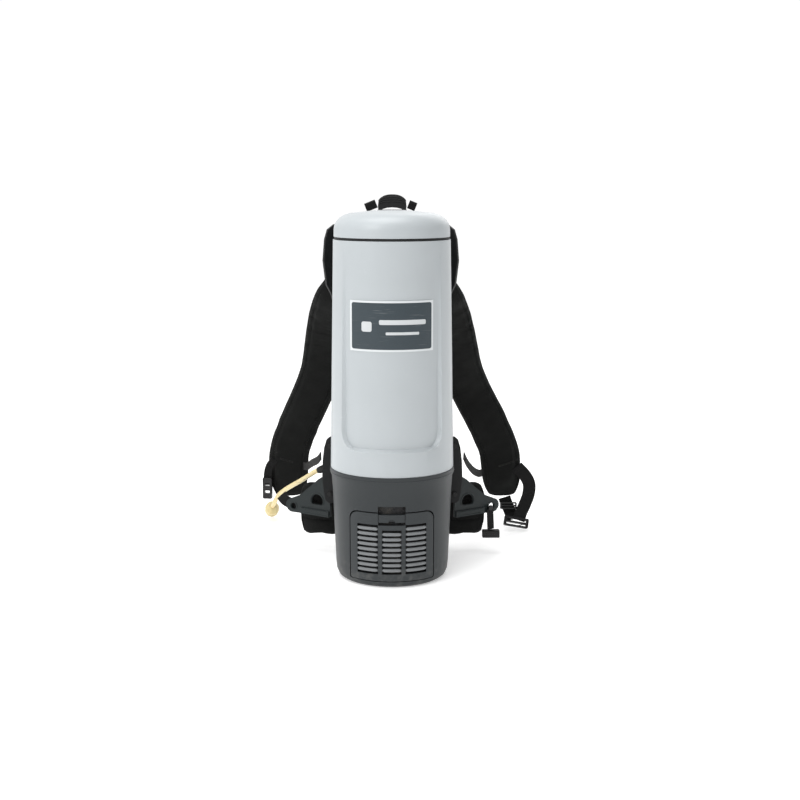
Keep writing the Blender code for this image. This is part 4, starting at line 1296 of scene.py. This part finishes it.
@dataclass
class CarryFrame:
    """The carrying plate with its side brackets, hip wings, clamp bar and screws."""

    rivets: tuple[tuple[float, float], ...] = (
        (-0.060, 0.492), (0.060, 0.492), (-0.060, 0.430), (0.060, 0.430), (-0.078, 0.130), (0.078, 0.130),
        (0.0, 0.492), (-0.022, 0.5300), (0.022, 0.5300),
    )
    wing_lean_deg: float = 32.0

    def build(self) -> None:
        """Dress the plate and brackets, and add rivets, screw washers and wing ribs."""
        dress_nodes(Look.FRAME, "backplate", "flange_left", "flange_right", "handle_foot")
        dress_nodes(Look.WING, "hip_wing_left", "hip_wing_right")
        dress_nodes(Look.BUCKLE, "strap_clamp_bar")
        dress_nodes(Look.DARK_SCREW, "screw_left_upper", "screw_left_lower",
                    "screw_right_upper", "screw_right_lower")
        self._rivets()
        self._screw_slots()
        self._wing_ribs()

    def _rivets(self) -> None:
        """Domed rivets on the rear of the plate, its bar and the handle's foot."""
        parts = []
        bpy.context.view_layer.update()
        trees = [search_tree(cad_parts[n]) for n in ("backplate", "strap_clamp_bar", "handle_foot")]
        for x, z in self.rivets:
            hits = [t.ray_cast(Vector((x, 0.30, z)), Vector((0, -1, 0)), 0.4)[0] for t in trees]
            hits = [h for h in hits if h is not None]
            if not hits:
                continue
            rear = max(h.y for h in hits)
            dome = turned("rivet", [(0.0002, 0.0014), (0.0016, 0.0012), (0.0028, 0.0007), (0.0034, 0.0),
                                    (0.0034, -0.0004), (0.0002, -0.0004)], 20)
            dome.data.transform(Matrix.Translation((x, rear, z)) @ Matrix.Rotation(math.radians(-90), 4, "X"))
            parts.append(dome)
        dress(joined("plate_rivets", parts), Look.SCREW)

    def _screw_slots(self) -> None:
        """A raised washer round each bracket screw."""
        parts = []
        for word in ("left", "right"):
            for level in ("upper", "lower"):
                low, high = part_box(f"screw_{word}_{level}")
                centre = (low + high) / 2
                ring = [Vector((math.cos(a), 0, math.sin(a))) for a in turn_angles(28)]
                spot = Vector((centre.x, high.y - 0.0004, centre.z))
                rear = Vector((0, 1, 0))
                stations = [Station(spot + out * 0.0041, out.cross(rear), out, rear, 0.0) for out in ring]
                parts.append(sweep("washer", stations, oval(0.0007, 0.0004, 8), loop=True))
        dress(joined("screw_washers", parts), Look.DARK_SCREW)

    def _wing_ribs(self) -> None:
        """Moulded lips round the wings' large and small holes, and along the lower bar."""
        lean = math.radians(self.wing_lean_deg)
        for side, word in ((1, "right"), (-1, "left")):
            tree = search_tree(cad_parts[f"hip_wing_{word}"])
            parts = []
            along = Vector((side * math.cos(lean), math.sin(lean), 0))
            out = Vector((side * math.sin(lean), -math.cos(lean), 0))
            for x, z, radius, start, end, count in ((0.1600, 0.0790, 0.0068, 0, 360, 28),
                                                    (0.1200, 0.0930, 0.0130, -20, 200, 26)):
                middle = Vector((side * 0.0985, 0.0712, z)) + along * ((x - 0.0985) / math.cos(lean))
                ring = []
                for i in range(count + 1):
                    a = math.radians(start + (end - start) * i / count)
                    spot = middle + along * (radius * math.cos(a)) + Vector((0, 0, radius * math.sin(a)))
                    hit = tree.ray_cast(spot + out * 0.03, -out, 0.06)[0]
                    if hit is not None:
                        ring.append(hit)
                if len(ring) > 6:
                    parts.append(sweep("lip", course(ring, tuple(out)), oval(0.0009, 0.0007, 8)))
            for z in (0.0712, 0.0771):
                line = []
                for i in range(13):
                    spot = Vector((side * 0.0985, 0.0712, z)) + along * (0.006 + 0.046 * i / 12)
                    hit = tree.ray_cast(spot + out * 0.03, -out, 0.06)[0]
                    if hit is not None:
                        line.append(hit)
                if len(line) > 3:
                    parts.append(sweep("bar_lip", course(line, tuple(out)), oval(0.0008, 0.0006, 8)))
            dress(joined(f"wing_lips_{word}", parts), Look.WING)


@dataclass
class CarryHandle:
    """The carry handle: a ribbed grip and two folded webbing tabs."""

    middle_y: float = 0.1120
    half_width: float = 0.0225
    spring: float = 0.5615
    rise: float = 0.0180
    squareness: float = 0.50
    half_depth: float = 0.0055
    tab_lean_deg: float = 22.0

    def build(self) -> None:
        """Dress the grip, rib it, and fold the tabs."""
        dress_nodes(Look.RUBBER, "carry_handle")
        self._ribs()
        self._tab("right", 1, 0.0312, 0.0125)
        self._tab("left", -1, 0.0334, 0.0180)

    def _ribs(self) -> None:
        """Raised ribs along the grip's arch, on its front, crown and back."""
        parts = []
        for y in (-1.0, 1.0):
            for share in (0.42, 0.62, 0.82):
                line = []
                for i in range(21):
                    a = math.radians(172 - 164 * i / 20)
                    x = self.half_width * 0.93 * math.cos(a)
                    height = self.rise * share * math.sin(a) ** self.squareness
                    line.append(Vector((x, self.middle_y + y * self.half_depth, self.spring + height)))
                parts.append(sweep("rib", course(line, (0, y, 0)), oval(0.0010, 0.0007, 8)))
        for y in (-0.0033, 0.0, 0.0033):
            line = []
            for i in range(25):
                a = math.radians(168 - 156 * i / 24)
                x = self.half_width * math.cos(a) * (1.0 - 0.10 * math.sin(2 * a) ** 2)
                height = self.rise * math.sin(a) ** self.squareness
                line.append(Vector((x, self.middle_y + y, self.spring + height)))
            outs = [(p - Vector((0, self.middle_y, self.spring - 0.004))).normalized() for p in line]
            parts.append(sweep("crown_rib", course(line, outs), oval(0.0009, 0.0006, 8)))
        dress(joined("grip_ribs", parts), Look.RUBBER, "handle")

    def _tab(self, word: str, side: int, out: float, width: float) -> None:
        """A strap end folded over, with its raw edges down, leaning outwards."""
        half_gap, tall, thick = 0.0022, 0.0125, 0.0021
        line = []
        for i in range(7):
            line.append(Vector((0, -half_gap, -tall / 2 + (tall - half_gap) * i / 6)))
        for i in range(1, 9):
            a = math.pi * i / 8
            line.append(Vector((0, -half_gap * math.cos(a), tall / 2 - half_gap + half_gap * math.sin(a))))
        for i in range(1, 7):
            line.append(Vector((0, half_gap, tall / 2 - half_gap - (tall - half_gap) * i / 6)))
        outs = [Vector((0, p.y, max(p.z - (tall / 2 - half_gap), 0.0))).normalized() for p in line]
        obj = sweep(f"handle_webbing_{word}", course(line, outs), flat_section(width, thick))
        lean = Matrix.Rotation(side * math.radians(self.tab_lean_deg), 4, "Y")
        obj.data.transform(Matrix.Translation((side * out, self.middle_y, 0.5620)) @ lean)
        dress(obj, Look.WEBBING, "handle")
        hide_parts(f"handle_tab_{word}")


@dataclass
class Strap:
    """A length of harness webbing. It stands for its plain CAD strap, where node names one."""

    node: str
    name: str
    route: tuple[Place, ...]
    face: Place
    width: float
    thickness: float = 0.0020
    tacks: tuple[float, ...] = (0.10,)

    def build(self, mirror: int = 1) -> None:
        """Weave the strap along its run, and tack it with thread."""
        points = curve_through([(mirror * x, y, z) for x, y, z in self.route], 8)
        stations = course(points, (mirror * self.face[0], self.face[1], self.face[2]))
        obj = sweep(self.name, stations, flat_section(self.width, self.thickness))
        dress(obj, Look.WEBBING)
        if self.node:
            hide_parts(self.node)
        total = stations[-1].run
        lines = []
        for share in self.tacks:
            st = min(stations, key=lambda s: abs(s.run - share * total))
            for flip in (-1, 1):
                out = st.face * flip
                for step in (-0.0022, 0.0, 0.0022):
                    middle = st.point + st.ahead * step + out * (self.thickness * 0.5)
                    reach = st.side * (self.width * 0.36)
                    lines.append([(middle - reach, out), (middle + reach, out)])
        thread = stitches(f"{self.name}_tack", lines, 0.0016, 0.0021, 0.0003)
        dress(thread, Look.THREAD)


@dataclass
class ShoulderStraps:
    """The two padded shoulder straps with their bindings, seams and adjusting webbing."""

    route: tuple[Place, ...] = (
        (0.0420, 0.1150, 0.4720), (0.0590, 0.1165, 0.4480), (0.0740, 0.1220, 0.4265),
        (0.0846, 0.1302, 0.4130), (0.0915, 0.1458, 0.3987), (0.1020, 0.1756, 0.3698),
        (0.1110, 0.2090, 0.3262), (0.1202, 0.2297, 0.2829), (0.1378, 0.2448, 0.2395),
        (0.1593, 0.2564, 0.1959), (0.1715, 0.2628, 0.1667), (0.1802, 0.2670, 0.1450),
        (0.1850, 0.2710, 0.1150), (0.1878, 0.2720, 0.0560),
    )
    half_width: float = 0.0360
    lean: float = 0.028
    lean_height: float = 0.27
    top_drift: float = -0.0036
    shift: float = -0.0015
    seam_inset: float = 0.0105

    def build(self) -> None:
        """Make both straps and all their webbing."""
        for side, word in ((1, "right"), (-1, "left")):
            self._pad(side, word)
        self._webbing()
        self._anchors()
        dress_nodes(Look.BUCKLE, "ladder_lock_left", "ladder_lock_right", "triglide_right")
        self._lock_ridges()

    def _stations(self, side: int) -> list[Station]:
        """The strap's run on one side."""
        given = []
        for x, y, z in self.route:
            drift = self.shift + (self.lean * (self.lean_height - z) if z < 0.40 else self.top_drift)
            given.append((side * (x + side * drift), y, z))
        return course(curve_through(given, 8), (0, 1, 0))

    def _pad(self, side: int, word: str) -> None:
        """One strap: swollen pad, rolled edge binding, sewn seams and tack lines."""
        stations = self._stations(side)
        points = np.array([st.point for st in stations])
        sides = np.array([st.side for st in stations])
        total = stations[-1].run
        runs = np.array([st.run for st in stations])
        seam = self.half_width - self.seam_inset

        def sew(co: np.ndarray, normals: np.ndarray) -> np.ndarray:
            """Seam depth along both edges, and a shallow crease across the bends."""
            nearest = np.argmin(((co[:, None, :] - points[None]) ** 2).sum(2), axis=1)
            across = ((co - points[nearest]) * sides[nearest]).sum(1)
            run = runs[nearest]
            fade = np.clip((run - 0.06) / 0.05, 0, 1) * np.clip((total - 0.012 - run) / 0.01, 0, 1)
            depth = groove(np.abs(across) - seam, 0.0022, 0.0021) * fade
            wave = np.sin(run * 210.0 + 1.3 * side) * np.sin(across * 95.0 + run * 31.0)
            depth += 0.00045 * wave * fade
            crease = groove(run - 0.155 + 0.2 * np.abs(across), 0.006, 0.0012)
            depth += crease * np.clip(across * side / 0.03, 0, 1)
            return depth

        pad = Padding(f"shoulder_pad_{word}", f"shoulder_cushion_{word}", Look.PAD, cap=0.0028)
        obj = pad.build(sew)
        tree = search_tree(obj)
        self._binding(word, stations, tree)
        self._seams(side, word, stations, tree, seam)

    def _binding(self, word: str, stations: list[Station], tree: BVHTree) -> None:
        """The rolled tape sewn round the pad's edge."""
        total = stations[-1].run
        body = [st for st in stations if 0.055 < st.run < total - 0.034]
        end = body[-1]
        origins, ways = [], []
        for st in body:
            origins.append(st.point + st.side * 0.07)
            ways.append(-st.side)
        for i in range(1, 24):
            a = math.pi * i / 24
            out = end.side * math.cos(a) + end.ahead * math.sin(a)
            origins.append(end.point + out * 0.09)
            ways.append(-out)
        for st in reversed(body):
            origins.append(st.point - st.side * 0.07)
            ways.append(st.side)
        found = outline_on(tree, origins, ways)
        line = [hit for hit, _ in found]
        for _ in range(3):
            line = [line[0]] + [(a + 2 * b + c) / 4 for a, b, c in zip(line, line[1:], line[2:])] + [line[-1]]
        outs = [-way for way in ways][:len(line)]
        obj = sweep(f"strap_binding_{word}", course(line, outs), oval(0.0031, 0.0013, 12))
        dress(obj, Look.BINDING)

    def _seams(self, side: int, word: str, stations: list[Station], tree: BVHTree, seam: float) -> None:
        """Rows of stitches down both seams, front and back, and the slanted tack by the buckle."""
        total = stations[-1].run
        body = [st for st in stations if 0.075 < st.run < total - 0.018]
        lines = []
        for across in (-seam, seam):
            for flip in (-1, 1):
                origins = [st.point + st.side * across + st.face * (0.05 * flip) for st in body]
                ways = [st.face * -flip for st in body]
                lines.append(outline_on(tree, origins, ways))
        dress(stitches(f"strap_stitching_{word}", lines, 0.0030, 0.0046, 0.00035), Look.THREAD)
        ends = ((0.1830, 0.1105), (0.2170, 0.1215)) if side > 0 else ((-0.1965, 0.1245), (-0.1720, 0.1175))
        rows = []
        for lift in (0.0, 0.0021):
            spots = [Vector((ends[0][0] + (ends[1][0] - ends[0][0]) * i / 12, 0.20,
                             ends[0][1] + (ends[1][1] - ends[0][1]) * i / 12 + lift)) for i in range(13)]
            rows.append(outline_on(tree, spots, [Vector((0, 1, 0))] * 13))
        dress(stitches(f"strap_bar_tack_{word}", rows, 0.0022, 0.0027, 0.0005), Look.THREAD)

    def _anchors(self) -> None:
        """The wide webbing that ties each pad's top end under the clamp bar."""
        bpy.context.view_layer.update()
        plate = search_tree(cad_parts["backplate"])
        for side, word in ((1, "right"), (-1, "left")):
            start, end = self._stations(side)[0].point, self._stations(side)[2].point
            top = Vector((side * 0.0245, 0.0, 0.4895))
            middle = Vector(((top.x + start.x) / 2, 0.0, (top.z + start.z) / 2))
            laid = []
            for spot in (top, middle):
                rear = plate.ray_cast(Vector((spot.x, 0.30, spot.z)), Vector((0, -1, 0)), 0.4)[0]
                laid.append((spot.x, rear.y + 0.0016, spot.z))
            Strap("", f"strap_anchor_{word}", (*laid, tuple(start), tuple(end)), (0, 1, 0), 0.0440,
                  tacks=(0.30,)).build()

    def _webbing(self) -> None:
        """Every strap of webbing on the shoulder harness."""
        Strap("adjuster_webbing_right", "adjuster_strap_right", (
            (0.2150, 0.2610, 0.1110), (0.2290, 0.2612, 0.0960), (0.2370, 0.2618, 0.0800),
            (0.2362, 0.2616, 0.0620), (0.2300, 0.2585, 0.0450), (0.2225, 0.2530, 0.0300),
            (0.2185, 0.2478, 0.0185),
        ), (0, 1, 0.1), 0.0220, tacks=(0.06, 0.52)).build()
        Strap("", "wing_loop_left", (
            (-0.1555, 0.1150, 0.0790), (-0.1660, 0.1190, 0.0805), (-0.1760, 0.1240, 0.0850),
            (-0.1825, 0.1300, 0.0920),
        ), (0, 1, 0), 0.0180, tacks=(0.45,)).build()
        Strap("tail_webbing_right", "tail_strap_right", (
            (0.1950, 0.2700, 0.0545), (0.1985, 0.2690, 0.0440), (0.2040, 0.2640, 0.0320),
            (0.2085, 0.2530, 0.0190),
        ), (0, 1, 0), 0.0215, tacks=(0.25,)).build()
        Strap("adjuster_webbing_left", "adjuster_strap_left", (
            (-0.2060, 0.2616, 0.1230), (-0.2135, 0.2606, 0.1130), (-0.2172, 0.2600, 0.1010),
            (-0.2180, 0.2592, 0.0880), (-0.2182, 0.2585, 0.0790),
        ), (0, 1, 0), 0.0138, tacks=(0.2,)).build()
        for side, word, lift in ((1, "right", 0.0), (-1, "left", 0.012)):
            Strap(f"side_webbing_{word}", f"side_strap_{word}", (
                (0.1135, 0.0700, 0.1700), (0.1200, 0.0900, 0.1540 + lift * 0.4),
                (0.1310, 0.1260, 0.1345 + lift), (0.1440, 0.1900, 0.1150 + lift),
                (0.1540, 0.2480, 0.1030 + lift),
            ), (1, -0.15, 0), 0.0128, tacks=(0.05, 0.95)).build(side)

    def _lock_ridges(self) -> None:
        """Grip ridges on the ladder locks' front bars."""
        parts = []
        for node, reach in (("ladder_lock_right", 0.016), ("ladder_lock_left", 0.0050)):
            tree = search_tree(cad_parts[node])
            low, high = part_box(node)
            middle = (low + high) / 2
            for step in range(5):
                z = low.z + (high.z - low.z) * (0.12 + 0.19 * step)
                line = []
                for i in range(7):
                    x = middle.x + reach * (i / 3 - 1)
                    hit = tree.ray_cast(Vector((x, 0.1, z)), Vector((0, 1, 0)), 0.3)[0]
                    if hit is not None:
                        line.append(hit)
                if len(line) == 7:
                    parts.append(sweep("ridge", course(line, (0, -1, 0)), oval(0.0006, 0.0005, 8)))
        if parts:
            dress(joined("lock_ridges", parts), Look.BUCKLE)


@dataclass
class HipBelt:
    """The hip belt: two pads behind the wings, their webbing and the buckle's two halves."""

    def build(self) -> None:
        """Make the pads, webbing and buckle details."""
        for side, word in ((1, "right"), (-1, "left")):
            self._pad(side, word)
        Strap("belt_webbing_right", "belt_strap_right", (
            (0.1583, 0.1018, 0.0750), (0.1590, 0.1030, 0.0610), (0.1600, 0.1050, 0.0410),
        ), (-0.53, 0.85, 0), 0.0128, tacks=(0.12, 0.80)).build()
        Strap("belt_webbing_left", "belt_strap_left", (
            (-0.1275, 0.1475, 0.1020), (-0.1262, 0.1470, 0.0900), (-0.1250, 0.1460, 0.0772),
        ), (0, 1, 0), 0.0245, tacks=(0.2,)).build()
        dress_nodes(Look.BUCKLE, "belt_buckle_left", "belt_buckle_right", "belt_stud_right")
        self._buckle_lips()

    def _pad(self, side: int, word: str) -> None:
        """One hip pad: crowned, with two channels and a bound edge."""

        def sew(co: np.ndarray, normals: np.ndarray) -> np.ndarray:
            """Two channels along the pad, and a seam inside its edge."""
            x = np.abs(co[:, 0])
            depth = groove(co[:, 2] - 0.0860, 0.0024, 0.0022) + groove(co[:, 2] - 0.0560, 0.0024, 0.0022)
            depth = depth * np.clip((x - 0.060) / 0.008, 0, 1) * np.clip((0.146 - x) / 0.008, 0, 1)
            return depth + 0.0005 * np.sin(co[:, 0] * 130.0 + 40.0 * co[:, 2]) * np.sin(co[:, 2] * 150.0)

        pad = Padding(f"hip_pad_{word}", f"hip_cushion_{word}", Look.PAD, cap=0.0030)
        obj = pad.build(sew)
        tree = search_tree(obj)
        lines = []
        for z in (0.0560, 0.0860):
            for y, way in ((0.05, 1), (0.22, -1)):
                spots = [Vector((side * (0.064 + 0.076 * i / 30), y, z)) for i in range(31)]
                lines.append(outline_on(tree, spots, [Vector((0, way, 0))] * 31))
        dress(stitches(f"hip_stitching_{word}", lines, 0.0030, 0.0046, 0.00035), Look.THREAD)
        origins, ways = [], []
        centre = Vector((side * 0.100, 0.121, 0.072))
        for i in range(72):
            a = 2 * math.pi * i / 72
            out = Vector((side * math.cos(a), 0.10 * max(math.cos(a), 0.0), math.sin(a))).normalized()
            origins.append(centre + out * 0.10)
            ways.append(-out)
        found = outline_on(tree, origins, ways)
        if len(found) == len(origins):
            line = [hit for hit, _ in found]
            stations = []
            for i, point in enumerate(line):
                ahead = (line[(i + 1) % 72] - line[i - 1]).normalized()
                side_way = ahead.cross(-ways[i]).normalized()
                stations.append(Station(point, ahead, side_way, side_way.cross(ahead), i * 0.004))
            piping = sweep(f"hip_piping_{word}", stations, oval(0.0022, 0.0013, 10), loop=True)
            dress(piping, Look.BINDING)

    def _buckle_lips(self) -> None:
        """Raised lips across the right buckle half's face."""
        parts = []
        low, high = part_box("belt_buckle_right")
        for share in (0.25, 0.5, 0.75):
            z = low.z + (high.z - low.z) * share
            line = [Vector((low.x + 0.003 + (high.x - low.x - 0.006) * i / 8, low.y, z)) for i in range(9)]
            parts.append(sweep("lip", course(line, (0, -1, 0)), oval(0.0007, 0.0006, 8)))
        dress(joined("buckle_lips", parts), Look.BUCKLE)


@dataclass
class BackCushions:
    """The wearer's back pad and the lumbar pad behind the carrying plate."""

    def build(self) -> None:
        """Make both cushions with their seams."""
        self._cushion("back_pad", "back_cushion", (0.0,), (0.205, 0.262, 0.319, 0.352))
        self._cushion("lumbar_pad", "lumbar_cushion", (-0.018, 0.018), ())

    def _cushion(self, node: str, name: str, uprights: tuple[float, ...], levels: tuple[float, ...]) -> None:
        """One cushion.

        Args:
            node: The CAD node it stands for.
            name: The cushion's name.
            uprights: The places across of its upright channels.
            levels: The heights of its level channels.
        """
        low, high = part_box(node)
        inset = 0.012

        def sew(co: np.ndarray, normals: np.ndarray) -> np.ndarray:
            """Channels on the rear face, and a seam round it."""
            rear = np.clip(normals[:, 1] * 2.0, 0, 1)
            edge = np.minimum.reduce([co[:, 0] - low.x, high.x - co[:, 0],
                                      co[:, 2] - low.z, high.z - co[:, 2]])
            depth = groove(edge - inset, 0.0020, 0.0020)
            inner = np.clip((edge - inset) / 0.004, 0, 1)
            for x in uprights:
                depth = depth + groove(co[:, 0] - x, 0.0026, 0.0026) * inner
            for z in levels:
                depth = depth + groove(co[:, 2] - z, 0.0026, 0.0026) * inner
            return depth * rear

        pad = Padding(node, name, Look.AIR_MESH, cap=0.0038)
        obj = pad.build(sew)
        tree = search_tree(obj)
        lines = []
        wide, tall = high.x - low.x - 2 * inset, high.z - low.z - 2 * inset
        for z in levels:
            spots = [Vector((low.x + inset + wide * i / 40, 0.2, z)) for i in range(41)]
            lines.append(outline_on(tree, spots, [Vector((0, -1, 0))] * 41))
        for x in (*uprights, low.x + inset, high.x - inset):
            spots = [Vector((x, 0.2, low.z + inset + tall * i / 60)) for i in range(61)]
            lines.append(outline_on(tree, spots, [Vector((0, -1, 0))] * 61))
        dress(stitches(f"{name}_stitching", lines, 0.0030, 0.0046, 0.00035), Look.THREAD)


def main() -> None:
    """Build the machine's looks, piece by piece."""
    logging.basicConfig(level=logging.INFO, format="%(name)s %(message)s")
    Studio().build()
    PowerLead().build()
    Canister().build()
    MotorBase().build()
    MotorUnit().build()
    CarryFrame().build()
    CarryHandle().build()
    ShoulderStraps().build()
    HipBelt().build()
    BackCushions().build()


if __name__ == "__main__":
    main()
